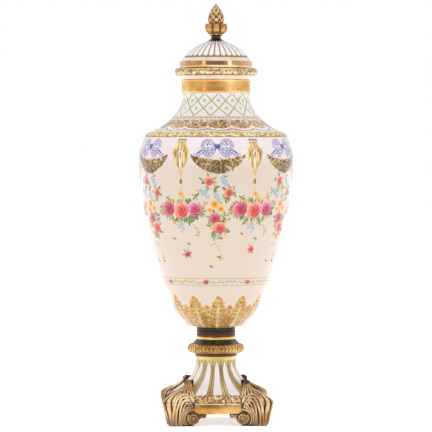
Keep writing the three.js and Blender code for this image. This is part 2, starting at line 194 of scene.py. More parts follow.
# Painted decoration
PAINT_TURN = math.radians(-1.5)     # the painting's middle line against the foot's front side
PAINT_LAYERS = 5
REPEATS = 6
LINE_LEVELS = (278.2, 291.8)        # the two thin lines of the flower band
LATTICE = (611.5, 655.0)
LATTICE_CELLS = 15
LATTICE_PITCH = 29.8
LATTICE_CROSSING = (641.5, math.radians(-10.1))
BEAD_LINE = 607.5
BEAD_COUNT = 110
SCROLL_BAND = (584.5, 604.0)
SLOPE_GILDING = 1.5                 # how far the chased edge runs up the shoulder
BOW_LEVEL = 551.0
ORNAMENT_LEVEL = 540.0
DROP_LEVEL = 450.0
CLUSTER_LEVEL = 430.0
SWAG_LEVEL = 535.0                  # of a garland's ends
SWAG_DROP = 23.0
SWAG_THIN = 2.0
SWAG_THICK = 11.5
SWAG_HALF_ANGLE = math.radians(20.6)
SWAG_TURN = PAINT_TURN + math.radians(0.5)
ACANTHUS_COUNT = 12
ACANTHUS_RADIUS = 45.0              # of the belly where the midribs start
ACANTHUS_TURN = PAINT_TURN + math.radians(2.0)
MEDALLION_COUNT = 15
MEDALLION_TURN = PAINT_TURN + math.radians(2.6)
MEDALLION_RADIUS = 112.0            # of the shoulder where the medallions lie
MEDALLION = (24.0, 9.0, 0.75)       # half length, half height and lift over the middle of their band
COOL_LEVELS = (500.0, 560.0)        # between which the glaze turns cooler and whiter
SHADED_HEIGHT = 48.0                # of the gilding that is darkened with painted shade near the ground


# Outlines

def smooth(knots, steps_per_knot):
    """Catmull-Rom outline through (radius, level) knots."""
    knots = np.array(knots, float)
    ends = np.vstack([knots[:1], knots, knots[-1:]])
    points = []
    for index in range(len(knots) - 1):
        a, b, c, d = ends[index:index + 4]
        for step in range(steps_per_knot):
            t = step / steps_per_knot
            points.append(0.5 * (2 * b + (c - a) * t + (2 * a - 5 * b + 4 * c - d) * t ** 2
                                 + (3 * b - a - 3 * c + d) * t ** 3))
    points.append(knots[-1])
    return np.array(points)


def bead(radius, low, high, bulge, steps, flatness=1.0):
    """Moulding that swells outwards, round, or with a flatter face where the flatness is under 1."""
    angle = np.linspace(0, math.pi, steps + 1)
    swell = np.clip(np.sin(angle), 0, 1) ** flatness
    return np.column_stack([radius + bulge * swell, low + (high - low) * (1 - np.cos(angle)) / 2])


def bezier(start, bend, end, steps):
    t = np.linspace(0, 1, steps + 1)[:, None]
    return (1 - t) ** 2 * np.array(start) + 2 * t * (1 - t) * np.array(bend) + t ** 2 * np.array(end)


def inset(outline, wall):
    """The same outline moved inwards by a wall."""
    run = np.gradient(outline, axis=0)
    run /= np.linalg.norm(run, axis=1)[:, None]
    return outline + wall * np.column_stack([-run[:, 1], run[:, 0]])


def even(outline, spacing):
    """The outline with points no further apart than the spacing, keeping every corner."""
    points = [outline[0]]
    for start, end in zip(outline[:-1], outline[1:]):
        steps = max(1, math.ceil(np.linalg.norm(end - start) / spacing))
        points.extend(start + (end - start) * (step / steps) for step in range(1, steps + 1))
    return np.array(points)


def belly_outline():
    swell = BELLY_RADIUS - COLLAR_RADIUS
    knots = [(COLLAR_RADIUS + swell * share, belly_bottom + BELLY_HEIGHT * rise)
             for rise, share in BELLY_FORM]
    roll = BELLY_RADIUS - EDGE_RADIUS
    knots.append((EDGE_RADIUS + 0.6 * roll, belly_bottom + 0.953 * BELLY_HEIGHT))
    knots.append((EDGE_RADIUS, edge_bottom))
    return smooth(knots, 12)


def shoulder_outline():
    start = np.array([EDGE_RADIUS - EDGE_SLOPE, edge_top])
    end = np.array([NECK_RADIUS, neck_waist])
    bend = start + (end - start) * np.array([0.82, 0.3])
    return bezier(start, bend, end, 60)


def rim_outlines():
    """Band, hollow moulding and rim at the top of the neck."""
    band = NECK_RADIUS + NECK_FLARE + BAND_PROUD
    lip = RIM_RADIUS - RIM_BULGE
    shares = np.linspace(0, 1, 12)
    cavetto = np.column_stack([band + (lip - band) * shares ** 2, band_top + CAVETTO_HEIGHT * shares])
    collar = np.array([
        (NECK_RADIUS + NECK_FLARE, band_bottom), (band - 0.5, band_bottom + 0.4), (band, band_bottom + 1.2),
        (band, band_bottom + 3.5), (band - 0.5, band_bottom + 4), (band - 0.5, band_top - 3.6),
        (band, band_top - 3.1), (band, band_top),
    ])
    rim = bead(lip, rim_bottom, body_top, RIM_BULGE, 20)
    return collar, cavetto, rim


def body_zones():
    """(material, outline) pairs from the underside over the rim and down the inside to the floor."""
    band_radius = COLLAR_RADIUS + REED_BULGE / 2
    cream = np.array([
        (COLLAR_RADIUS - REED_BULGE, body_bottom), (band_radius, body_bottom + 0.12 * COLLAR_BAND_HEIGHT),
        (band_radius + 0.4, body_bottom + 0.5 * COLLAR_BAND_HEIGHT),
        (band_radius, body_bottom + 0.88 * COLLAR_BAND_HEIGHT), (COLLAR_RADIUS - REED_BULGE, reed_bottom),
    ])
    reeds = np.vstack([
        bead(COLLAR_RADIUS - REED_BULGE, reed_bottom + index * REED_HEIGHT,
             reed_bottom + (index + 1) * REED_HEIGHT, REED_BULGE, 8)
        for index in range(REED_COUNT)
    ])
    edge = even(np.array([(EDGE_RADIUS, edge_bottom), (EDGE_RADIUS + 0.3, edge_bottom + 1),
                          (EDGE_RADIUS - 0.3 * EDGE_SLOPE, (edge_bottom + edge_top) / 2),
                          (EDGE_RADIUS - EDGE_SLOPE, edge_top)]), 1.5)
    shoulder = shoulder_outline()
    gilt_slope = int(np.searchsorted(shoulder[:, 1], edge_top + SLOPE_GILDING))
    neck = smooth([(NECK_RADIUS, neck_waist), (NECK_RADIUS + 0.7, neck_waist + 0.55 * NECK_RISE),
                   (NECK_RADIUS + NECK_FLARE, band_bottom)], 8)
    collar, cavetto, rim = rim_outlines()
    belly = even(belly_outline(), 4.4)
    inner_belly = inset(belly_outline(), BODY_WALL)
    floor = belly_bottom + BODY_FLOOR
    inner_belly = inner_belly[inner_belly[:, 1] > floor + BODY_WALL][::-1]
    inner_shoulder = inset(shoulder_outline(), BODY_WALL)[::-1]
    inside = np.vstack([
        [(mouth_radius + 1, body_top), (mouth_radius, body_top - 1)],
        inner_shoulder[::6], inner_belly[::4], [(inner_belly[-1][0] * 0.6, floor), (0, floor)],
    ])
    return [
        ("clay", np.array([(0, body_bottom), (COLLAR_RADIUS - REED_BULGE, body_bottom)])),
        ("gold", cream),
        ("collar", reeds),
        ("painted", belly),
        ("chased", edge),
        ("chased", shoulder[:gilt_slope + 1]),
        ("painted", even(shoulder[gilt_slope:], 2.2)),
        ("painted", even(neck, 1.6)),
        ("gold", collar),
        ("gold", cavetto[:4]),
        ("stem", cavetto[3:5]),
        ("fillet", cavetto[4:]),
        ("rim", rim),
        ("glaze", inside),
    ]


# Meshes

class Grid:
    """Rows of points, each row a closed loop. A row whose points all meet is a pole.

    The hollow shade of a point is the weight of painted shade on it: 1 in the depth of the carving and 0 on
    its crest. Its edge is the distance in millimetres from the nearest painted outline, positive inside.
    """

    def __init__(self, points, strip_materials, hollow_shade=None, edge=None):
        self.points = points
        self.strip_materials = strip_materials
        self.hollow_shade = np.zeros(points.shape[:2]) if hollow_shade is None else hollow_shade
        self.edge = np.zeros(points.shape[:2]) if edge is None else edge

    def quads(self):
        rows, columns = self.points.shape[:2]
        low = np.arange(rows - 1)[:, None] * columns + np.arange(columns)
        low_next = np.arange(rows - 1)[:, None] * columns + (np.arange(columns) + 1) % columns
        return np.stack([low, low_next, low_next + columns, low + columns], axis=-1)

    def turned_out(self):
        """The same grid with its faces looking outwards."""
        corners = self.points.reshape(-1, 3)[self.quads().reshape(-1, 4)]
        diagonals = np.cross(corners[:, 2] - corners[:, 0], corners[:, 3] - corners[:, 1])
        volume = np.sum((corners.mean(axis=1) - self.points.mean(axis=(0, 1))) * diagonals)
        if volume >= 0:
            return self
        return Grid(self.points[:, ::-1], self.strip_materials, self.hollow_shade[:, ::-1], self.edge[:, ::-1])

    def quarter_turned(self, quarter, mirrored=False):
        """The same grid turned round Z by a number of quarters, after mirroring left and right if asked."""
        x = -self.points[..., 0] if mirrored else self.points[..., 0]
        y, z = self.points[..., 1], self.points[..., 2]
        cos, sin = (1, 0, -1, 0)[quarter], (0, 1, 0, -1)[quarter]
        points = np.stack([x * cos - y * sin, x * sin + y * cos, z], axis=-1)
        return Grid(points, self.strip_materials, self.hollow_shade, self.edge)


def closed_grid(rows, hollow_shade):
    """Carved grid of rows that is closed by a pole at each end, in the middle of its loop."""
    rows = np.array(rows)
    first, last = [np.tile(rows[index].mean(axis=0), (1, rows.shape[1], 1)) for index in (0, -1)]
    points = np.concatenate([first, rows, last])
    return Grid(points, ["carved"] * (len(points) - 1), np.array(np.broadcast_to(hollow_shade, points.shape[:2])))


class Turned:
    """Zones of (material, outline) turned round the Z axis, one row for each outline point."""

    def __init__(self, zones, columns):
        rows, materials = [], []
        for material, outline in zones:
            start = 1 if rows and np.allclose(rows[-1], outline[0]) else 0
            rows.extend(outline[start:])
            materials.extend([material] * (len(outline) - start))
        self.rows = np.array(rows, float)
        self.materials = materials
        self.columns = columns
        self.angles = np.arange(columns) / columns * FULL_TURN
        self.run = np.concatenate([[0], np.cumsum(np.linalg.norm(np.diff(self.rows, axis=0), axis=1))])

    def carved(self, carvings):
        """Grid of the rows, carved by material. A carving takes a row's radius, its level, its share of the
        way through its zone and the angles, and gives its reach, its weight of painted shade and its edge."""
        reach = np.repeat(self.rows[:, :1], self.columns, axis=1)
        hollow_shade, edge = np.zeros_like(reach), np.zeros_like(reach)
        for material, carve in carvings.items():
            zone = np.flatnonzero(np.array(self.materials) == material)
            for share, row in zip(np.arange(len(zone)) / (len(zone) - 1), zone):
                reach[row], hollow_shade[row], edge[row] = carve(*self.rows[row], share, self.angles)
        reach = np.where(self.rows[:, :1] <= 0, 0, reach)
        levels = np.repeat(self.rows[:, 1:2], self.columns, axis=1)
        points = np.stack([reach * np.sin(self.angles), -reach * np.cos(self.angles), levels], axis=-1)
        return Grid(points, self.materials[1:], hollow_shade, edge)


def place_object(name, data, location=(0, 0, 0), aim=None):
    """New object in the scene, turned to look at its aim if it has one."""
    item = bpy.data.objects.new(name, data)
    bpy.context.scene.collection.objects.link(item)
    item.location = location
    if aim is not None:
        item.rotation_euler = (aim - item.location).to_track_quat("-Z", "Y").to_euler()
    return item


def make_object(name, grids, box, layers=None):
    """Mesh object in metres from closed grids, kept inside the box of its node."""
    vertices, faces, names, face_names, hollow_shade, edge = [], [], [], [], [], []
    for grid in grids:
        grid = grid.turned_out() if layers is None else grid
        rows, columns = grid.points.shape[:2]
        target = np.arange(rows * columns).reshape(rows, columns)
        poles = np.ptp(grid.points, axis=1).max(axis=-1) < TINY
        target[poles] = target[poles, :1]
        used = np.unique(target)
        place = np.zeros(rows * columns, int)
        place[used] = np.arange(len(used)) + sum(len(part) for part in vertices)
        faces.append(place[target.reshape(-1)[grid.quads().reshape(-1, 4)]])
        vertices.append(np.clip(grid.points.reshape(-1, 3)[used], *box))
        hollow_shade.append(grid.hollow_shade.reshape(-1)[used])
        edge.append(grid.edge.reshape(-1)[used])
        face_names.extend(np.repeat(grid.strip_materials, columns))
        names.extend(item for item in dict.fromkeys(grid.strip_materials) if item not in names)
    polygons, corners = [], []
    for index, quad in enumerate(np.vstack(faces).tolist()):
        kept = [position for position in range(4) if quad[position] not in quad[:position]]
        polygons.append([quad[position] for position in kept])
        corners.extend(4 * index + position for position in kept)
    mesh = bpy.data.meshes.new(name)
    mesh.from_pydata((np.vstack(vertices) * MM).tolist(), [], polygons)
    indices = np.array([names.index(item) for item in face_names], np.int32)
    mesh.polygons.foreach_set("material_index", indices)
    for material in names:
        mesh.materials.append(MATERIALS[material])
    for label, values in (("hollow_shade", hollow_shade), ("edge", edge)):
        attribute = mesh.attributes.new(label, "FLOAT", "POINT")
        attribute.data.foreach_set("value", np.concatenate(values).astype(np.float32))
    for index, layer in enumerate([] if layers is None else layers):
        attribute = mesh.attributes.new(f"paint_{index}", "FLOAT_VECTOR", "CORNER")
        attribute.data.foreach_set("vector", layer.reshape(-1, 3)[corners].astype(np.float32).ravel())
    mesh.polygons.foreach_set("use_smooth", np.ones(len(mesh.polygons), bool))
    mesh.set_sharp_from_angle(angle=SHARP_ANGLE)
    mesh.update()
    return place_object(name, mesh)


# Painting: small motifs laid over one another, each drawn by the material in its own coordinates

KINDS = ["none", "rose", "blossom", "daisy", "leaf", "stroke", "ribbon", "dot", "curl"]
HUES = [
    # name, dark, light, gilt
    ("crimson", (158, 2, 40), (236, 136, 160), 0),
    ("coral", (192, 24, 44), (246, 166, 148), 0),
    ("pink", (172, 8, 60), (242, 176, 198), 0),
    ("yellow", (204, 98, 2), (246, 194, 56), 0),
    ("blue", (78, 110, 150), (168, 192, 206), 0),
    ("green", (58, 76, 34), (140, 154, 90), 0),
    ("olive", (108, 114, 50), (184, 186, 112), 0),
    ("moss", (120, 128, 84), (196, 204, 160), 0),
    ("ochre", (196, 134, 40), (236, 202, 104), 0),
    ("violet", (74, 68, 142), (222, 216, 234), 0),
    ("iris", (64, 58, 130), (122, 116, 182), 0),
    ("misty", (104, 128, 132), (178, 194, 188), 0),
    ("gilt", (206, 160, 88), (250, 228, 172), 1),
    ("bronze", (92, 60, 24), (190, 146, 84), 1),
    ("amber", (184, 130, 62), (242, 208, 142), 1),
    ("umber", (66, 42, 16), (122, 88, 44), 1),
    ("cream", (222, 196, 148), (252, 238, 206), 0),
    ("plum", (96, 50, 92), (150, 96, 140), 0),
    ("lilac", (178, 168, 190), (226, 218, 228), 0),
    ("pale", (206, 190, 170), (250, 244, 240), 0),
]
HUE_NAMES = [name for name, *_ in HUES]
CODE_BASE = 32                      # a motif's code is its kind times this, plus its hue
FOLIAGE = ("green", "olive", "green", "moss", "ochre")
UPRIGHT = math.pi / 2
PAINT_SEED = 7


class Painting:
    """Motifs on a turned surface. Later motifs lie over earlier ones."""

    def __init__(self, surface):
        top = int(np.argmax(surface.rows[:, 1]))
        self.surface = surface
        self.last_outside = top
        self.radii, self.levels = surface.rows[:top + 1].T
        self.chance = random.Random(PAINT_SEED)
        self.motifs = []

    def add(self, kind, hue, angle, level, length, width=None, turn=0.0):
        """Motif at an angle and level, with half length and half width in millimetres, turned from the
        horizontal."""
        code = KINDS.index(kind) * CODE_BASE + HUE_NAMES.index(hue)
        self.motifs.append((code, angle, level, length, width or length, turn))

    def path(self, kind, hue, points, width, overlap=0.12):
        """Strokes along (angle, level) points."""
        for (a0, z0), (a1, z1) in zip(points[:-1], points[1:]):
            radius = self.radius_at((z0 + z1) / 2)
            dx, dy = (a1 - a0) * radius, self.run_at(z1) - self.run_at(z0)
            length = math.hypot(dx, dy) / 2 * (1 + overlap)
            self.add(kind, hue, (a0 + a1) / 2, (z0 + z1) / 2, length, width, math.atan2(dy, dx))

    def run_at(self, level):
        return float(np.interp(level, self.levels, self.surface.run[:self.last_outside + 1]))

    def radius_at(self, level):
        return float(np.interp(level, self.levels, self.radii))

    def layers(self):
        """Corner values (u, v, code) of each layer for every face of the surface."""
        rows, columns, run = len(self.surface.rows) - 1, self.surface.columns, self.surface.run
        values = np.zeros((PAINT_LAYERS, rows, columns, 4, 3), np.float32)
        count = np.zeros((rows, columns), int)
        step = FULL_TURN / columns
        corner_rows = np.array([0, 0, 1, 1])
        corner_columns = np.array([0, 1, 1, 0])
        for code, angle, level, length, width, turn in reversed(self.motifs):
            radius, middle = self.radius_at(level), self.run_at(level)
            cos, sin = math.cos(turn), math.sin(turn)
            reach_x = abs(length * cos) + abs(width * sin)
            reach_y = abs(length * sin) + abs(width * cos)
            low = max(0, int(np.searchsorted(run, middle - reach_y)) - 1)
            high = min(self.last_outside, int(np.searchsorted(run, middle + reach_y)) + 1)
            row = np.arange(low, high)
            column = np.arange(math.floor((angle - reach_x / radius) / step) - 1,
                               math.ceil((angle + reach_x / radius) / step) + 1)
            if not len(row):
                continue
            x = ((column[:, None] + corner_columns) * step - angle)[None] * radius
            y = (run[row[:, None] + corner_rows] - middle)[:, None]
            u = (x * cos + y * sin) / length
            v = (y * cos - x * sin) / width
            rr, cc = np.nonzero((u.min(-1) < 1) & (u.max(-1) > -1) & (v.min(-1) < 1) & (v.max(-1) > -1))
            free = count[row[rr], column[cc] % columns] < PAINT_LAYERS
            rr, cc = rr[free], cc[free]
            face = row[rr], column[cc] % columns
            drawn = np.stack([u[rr, cc], v[rr, cc], np.full((len(rr), 4), code)], axis=-1)
            values[(PAINT_LAYERS - 1 - count[face], *face)] = drawn
            count[face] += 1
        return values.reshape(PAINT_LAYERS, -1, 3)


class Brush:
    """Paints at places in millimetres, across from a middle line and up from a level.

    The gauge is the level whose girth turns millimetres into angles.
    """

    def __init__(self, painting, middle, gauge, level=0.0, squeeze=1.0):
        self.painting = painting
        self.chance = painting.chance
        self.middle = middle
        self.level = level
        self.radius = painting.radius_at(gauge) / squeeze

    def at(self, x, z):
        return self.middle + x / self.radius, self.level + z

    def add(self, kind, hue, x, z, length, width=None, turn=0.0):
        self.painting.add(kind, hue, *self.at(x, z), length, width, turn)

    def path(self, kind, hue, width, points, side=1):
        self.painting.path(kind, hue, [self.at(side * x, z) for x, z in points], width)

    def flower(self, kind, hue, x, z, size):
        self.add(kind, hue, x, z, size, size, self.chance.uniform(0, 3))

    def leaves(self, x, z, reach, count, hues=("green", "olive"), size=5.0):
        """Ring of leaves that points away from a flower."""
        angle, level = self.at(x, z)
        radius = self.painting.radius_at(level)
        start = self.chance.uniform(0, FULL_TURN)
        for index in range(count):
            turn = start + index * FULL_TURN / count + self.chance.uniform(-0.3, 0.3)
            length = size * self.chance.uniform(0.75, 1.2)
            away = reach + length * 0.55
            self.painting.add("leaf", self.chance.choice(hues), angle + math.cos(turn) * away / radius,
                              level + math.sin(turn) * away, length, length * 0.45, turn)

    def rose(self, x, z, size, hue):
        self.leaves(x, z, size * 0.75, 5, size=4.2 + size * 0.18)
        self.add("rose", hue, x, z, size, size * 0.96, self.chance.uniform(-0.5, 0.5))


def paint_bow(painting, middle):
    """Violet ribbon bow with two ruffled loops and two waved tails."""
    brush = Brush(painting, middle, BOW_LEVEL, BOW_LEVEL, 0.88)
    for side in (-1, 1):
        for kind, hue, width, points in (
            ("ribbon", "violet", 3.1, ((5, -4), (10, -11), (16, -17), (22, -18), (27, -12), (32, -9),
                                       (37, -13), (43, -16), (50, -18))),
            ("ribbon", "violet", 2.4, ((19, -9), (22, -15), (29, -17))),
            ("stroke", "iris", 0.8, ((33, -6), (39, -9), (44, -13))),
            ("ribbon", "violet", 3.0, ((3, 1), (8, 4), (14, 11), (22, 13), (29, 10), (34, 4), (31, -3),
                                       (24, -6), (15, -5), (4, -2))),
            ("stroke", "iris", 0.9, ((14, 2), (20, 6), (26, 4))),
            ("stroke", "iris", 0.8, ((19, 10), (22, 3), (20, -2))),
        ):
            brush.path(kind, hue, width, points, side)
        brush.add("dot", "iris", side * 3.5, 2.5, 3.0, 2.4)
        brush.add("dot", "iris", side * 3.0, -3, 2.6, 2.2)
    brush.add("rose", "iris", 0, 0, 5.2, 5.0)


def paint_ornament(painting, middle):
    """Gilt pendant between two garlands: crown, split husks and a string of drops."""
    brush = Brush(painting, middle, ORNAMENT_LEVEL)
    brush.add("stroke", "cream", 0, 552, 12, 6.5)
    for side in (-1, 1):
        for hue, x, z, length, width, lean in (
            ("gilt", 14.5, 543, 9, 3.4, 0.35), ("amber", 9.0, 529, 19, 6.6, -0.13),
            ("gilt", 9.5, 531, 15, 3.6, -0.1), ("bronze", 11.5, 536, 9, 1.5, 0.1),
            ("amber", 6.5, 548, 9, 5.0, 0), ("bronze", 4.4, 516, 8, 1.2, -0.05),
        ):
            brush.add("leaf", hue, side * x, z, length, width, UPRIGHT + side * lean)
    for hue, z, length, width in (("gilt", 552, 10, 5.5), ("amber", 550, 8, 2.2), ("pale", 524, 15, 3.4),
                                  ("bronze", 537, 5, 1.6)):
        brush.add("leaf", hue, 0, z, length, width, UPRIGHT)
    for x in (-7, 0, 7):
        brush.add("dot", "bronze", x, 563.5, 3.0, 3.2)
        brush.add("dot", "amber", x, 562.5, 2.4, 2.6)
    brush.add("stroke", "bronze", 0, 558.5, 8.5, 0.8)
    brush.add("dot", "amber", 0, 532, 2.4)
    brush.add("dot", "gilt", 0, 509, 3.0)
    for side in (-1, 1):
        brush.add("leaf", "amber", side * 3.6, 503, 5.5, 1.8, UPRIGHT + side * 0.35)
    brush.path("stroke", "amber", 0.8, ((0, 508), (0, 466)))
    for hue, z, size in (("amber", 498, 2.6), ("gilt", 490, 2.2), ("bronze", 483, 3.4), ("gilt", 475, 2.0),
                         ("amber", 469, 1.8)):
        brush.add("leaf", hue, 0, z, size * 1.9, size, UPRIGHT)


def paint_drop(painting, middle):
    """Loose string of flowers that hangs from the middle of a garland."""
    brush = Brush(painting, middle, DROP_LEVEL)
    brush.path("stroke", "olive", 0.5, ((0, 496), (-3, 486), (-1, 470), (0, 455), (-3, 438), (-2, 418)))
    for x, z, size in (
        (-30, 486, 4), (-3, 471, 6), (14, 493, 4), (31, 470, 4), (-36, 463, 5), (-19, 468, 4), (16, 448, 5),
        (20, 449, 5), (33, 458, 4), (4, 444, 4), (15, 417, 5.5), (18, 408, 5.5), (-15, 396, 6), (-16, 404, 4),
        (18, 384, 5.5), (-3, 377, 7), (4, 374, 5), (-9, 380, 5),
    ):
        brush.leaves(x, z, 0.8, 3, FOLIAGE, size)
    for x, z, size in ((13.6, 483, 8.0), (19, 476, 5.5), (9, 489, 5), (-26, 460.5, 8.0), (-33, 466, 5),
                       (-19, 453, 5.5), (-1.4, 454.5, 7.5), (3, 447, 5)):
        brush.flower("blossom", "blue", x, z, size)
    for x, z, size in ((-15, 427.5, 5.5), (7, 429.5, 7.5), (-5.3, 438.5, 9.5)):
        brush.flower("daisy", "yellow", x, z, size)
    for x, z, size, hue in ((-16, 484.0, 9.6, "coral"), (21.3, 461.4, 9.4, "coral"),
                            (-5.3, 411.8, 12.0, "crimson"), (4.6, 392.9, 12.6, "coral")):
        brush.rose(x, z, size, hue)
    brush.path("stroke", "olive", 0.5, ((-12, 361), (-4, 361), (2, 354), (7, 346)))
    for x, z in ((-13, 358), (-4, 363), (4, 357)):
        brush.add("leaf", "moss", x, z, 3.0, 1.2, brush.chance.uniform(0, 3))
    brush.leaves(7, 333, 2, 4, ("moss",), 4)
    brush.add("blossom", "yellow", 7, 333.4, 4.6)


def paint_cluster(painting, middle):
    """Three full roses under an ornament, with leaves, a yellow flower above and small blue ones below."""
    brush = Brush(painting, middle, CLUSTER_LEVEL)
    chance = brush.chance
    for index in range(60):
        turn = index / 60 * FULL_TURN + chance.uniform(-0.08, 0.08)
        x, z = 43 * math.cos(turn), 427 + 15.5 * math.sin(turn)
        away = chance.uniform(0, 5)
        lean = math.atan2(math.sin(turn) * 1.6, math.cos(turn)) + chance.uniform(-0.5, 0.5)
        size = chance.uniform(5.2, 8.0)
        brush.add("leaf", chance.choice(FOLIAGE), x + away * math.cos(lean), z + away * math.sin(lean), size,
                  size * 0.45, lean)
    for x, z, size in ((-17, 405, 5.5), (17, 404, 6.5), (-27, 451, 4.5), (31, 453, 5), (-50, 421, 4),
                       (50, 440, 5)):
        brush.leaves(x, z, 1.0, 4, FOLIAGE, size)
    brush.path("stroke", "olive", 0.5, ((24, 400), (31, 392), (34, 380)))
    for x, z in ((31, 391), (35, 384), (33, 377)):
        brush.leaves(x, z, 0.5, 2, ("moss", "olive"), 3.4)
    for x, z, size in ((-2.5, 400, 7.0), (-8, 393, 4.5), (2, 391, 5.0), (-2, 384, 3.2)):
        brush.flower("blossom", "blue", x, z, size)
    for kind, hue, x, z, length, width, turn in (
        ("daisy", "ochre", 7, 453, 5.0, 5.0, 0.2), ("daisy", "ochre", 1.5, 458.5, 7.5, 7, 0.4),
        ("rose", "crimson", -30, 429.5, 16.0, 15.5, 0.5), ("rose", "pink", 30, 430.7, 16.0, 16.5, -0.6),
        ("rose", "coral", 0, 426.5, 16.5, 16.5, 0.1),
    ):
        brush.add(kind, hue, x, z, length, width, turn)


def paint_scatter(painting, middle, hue, level, shift, size):
    """Single sprigs strewn over the plain lower belly under a group of roses, the largest of one hue."""
    brush = Brush(painting, middle, level, level)
    brush.leaves(shift, 0, 5.0, 6, ("moss", "green", "olive"), 4.2)
    brush.add("rose", hue, shift, 0, *size, 0.4)
    for x, z, bud, bud_hue in ((10, 21, 2.2, "plum"), (-20, 31, 2.8, "coral"), (-62, -15, 2.2, "plum"),
                               (52, -24, 2.2, "plum")):
        brush.add("leaf", "moss", x + 2.5, z - 2, 3.0, 1.2, brush.chance.uniform(0, 3))
        brush.add("leaf", "green", x - 2.5, z + 1, 2.6, 1.0, brush.chance.uniform(0, 3))
        brush.add("rose", bud_hue, x, z, bud)
    brush.path("stroke", "olive", 0.35, ((5, 6), (6, 12), (9, 18)))


def paint_band(painting):
    """Row of small flowers on a winding stem between two thin lines."""
    flowers = [("blossom", "blue", 5.0), ("rose", "coral", 6.2), ("daisy", "ochre", 5.0),
               ("rose", "crimson", 6.2)] * 4
    level = sum(LINE_LEVELS) / 2
    pitch = FULL_TURN / len(flowers)
    waves_per_flower = 6
    stem = [(PAINT_TURN + index / waves_per_flower * pitch,
             level + 2.2 * math.sin(index / waves_per_flower * math.pi))
            for index in range(len(flowers) * waves_per_flower)]
    painting.path("stroke", "olive", stem + [(PAINT_TURN + FULL_TURN, level)], 0.4)
    for index, (kind, hue, size) in enumerate(flowers):
        brush = Brush(painting, PAINT_TURN + (index + 0.48) * pitch, level, level)
        for x in (-18, -14, -10, -7, 7, 10, 14, 18):
            z = brush.chance.uniform(-2.8, 2.8)
            turn = brush.chance.uniform(-0.9, 0.9)
            brush.add("leaf", "misty" if abs(x) > 12 else "moss", x, z, 3.4, 1.4, turn)
        brush.add(kind, hue, 0, brush.chance.uniform(-0.6, 0.6), size, 0.86 * size)


def paint_shoulder(painting):
    """Small fans and curls round the medallions of the shoulder."""
    pitch = FULL_TURN / MEDALLION_COUNT
    low, high = SCROLL_BAND
    centre = (low + high) / 2
    for index in range(MEDALLION_COUNT):
        middle = MEDALLION_TURN + index * pitch
        fan = Brush(painting, middle + pitch / 2, centre)
        for x, z, hue in ((-5, high - 1, "bronze"), (5, high - 1, "bronze"), (0, high - 4, "amber"),
                          (-4, low + 1, "amber"), (4, low + 1, "amber")):
            fan.add("leaf", hue, x, z, 4.4, 1.6, fan.chance.uniform(-0.5, 0.5))
        for side in (-1, 1):
            Brush(painting, middle, centre).add("curl", "umber", side * 9.5, centre + 0.5, 5.0, 5.0, side * 2)


def paint_lattice(painting):
    """Small four-petalled flowers in the diamonds of the neck's lattice."""
    level, start = LATTICE_CROSSING
    pitch = FULL_TURN / LATTICE_CELLS
    for row in (-2, -1, 0, 1):
        z = level + row * LATTICE_PITCH / 2
        if not LATTICE[0] + 4 < z < LATTICE[1] - 4:
            continue
        for index in range(LATTICE_CELLS):
            brush = Brush(painting, start + (index + (0.5 if row % 2 == 0 else 0)) * pitch, z, z)
            for petal in range(4):
                turn = (petal + 0.5) * math.pi / 2
                brush.add("dot", "lilac", 2.0 * math.cos(turn), 2.0 * math.sin(turn), 1.7)
            brush.add("dot", "plum", 0, 0, 1.2)


def paint_body(surface):
    painting = Painting(surface)
    paint_shoulder(painting)
    paint_lattice(painting)
    paint_band(painting)
    pitch = FULL_TURN / REPEATS
    for index in range(REPEATS):
        paint_drop(painting, PAINT_TURN + index * pitch)
        paint_bow(painting, PAINT_TURN + index * pitch)
    for index in range(REPEATS):
        middle = PAINT_TURN + (index + 0.5) * pitch
        if index % 2:
            astray = math.radians(1.0)
            paint_scatter(painting, middle + astray, "crimson", 340.0, 3.5, (8.0, 6.0))
        else:
            astray = math.radians(-0.6)
            paint_scatter(painting, middle + astray, "coral", 350.0, 2.0, (7.6, 7.4))
        paint_cluster(painting, middle + astray)
        paint_ornament(painting, middle + 2 * astray)
    return painting.layers()


# Materials

def linear(rgb):
    """Colour of 0 to 255 parts as the linear colour that a shader socket takes."""
    parts = [((part / 255 + 0.055) / 1.055) ** 2.4 if part > 10 else part / 255 / 12.92 for part in rgb]
    return parts + [1.0]


class Value:
    """Output of a node. Sums, products and comparisons of values make the nodes for them; a comparison
    gives 1 where it holds and 0 elsewhere."""

    def __init__(self, graph, socket):
        self.graph = graph
        self.socket = socket

    def __add__(self, other):
        return self.graph.math("ADD", self, other)

    def __sub__(self, other):
        return self.graph.math("SUBTRACT", self, other)

    def __rsub__(self, other):
        return self.graph.math("SUBTRACT", other, self)

    def __mul__(self, other):
        return self.graph.math("MULTIPLY", self, other)

    def __truediv__(self, other):
        return self.graph.math("DIVIDE", self, other)

    def __lt__(self, other):
        return self.graph.math("LESS_THAN", self, other)

    def __gt__(self, other):
        return self.graph.math("GREATER_THAN", self, other)

    def __abs__(self):
        return self.graph.math("ABSOLUTE", self)

    __radd__ = __add__
    __rmul__ = __mul__


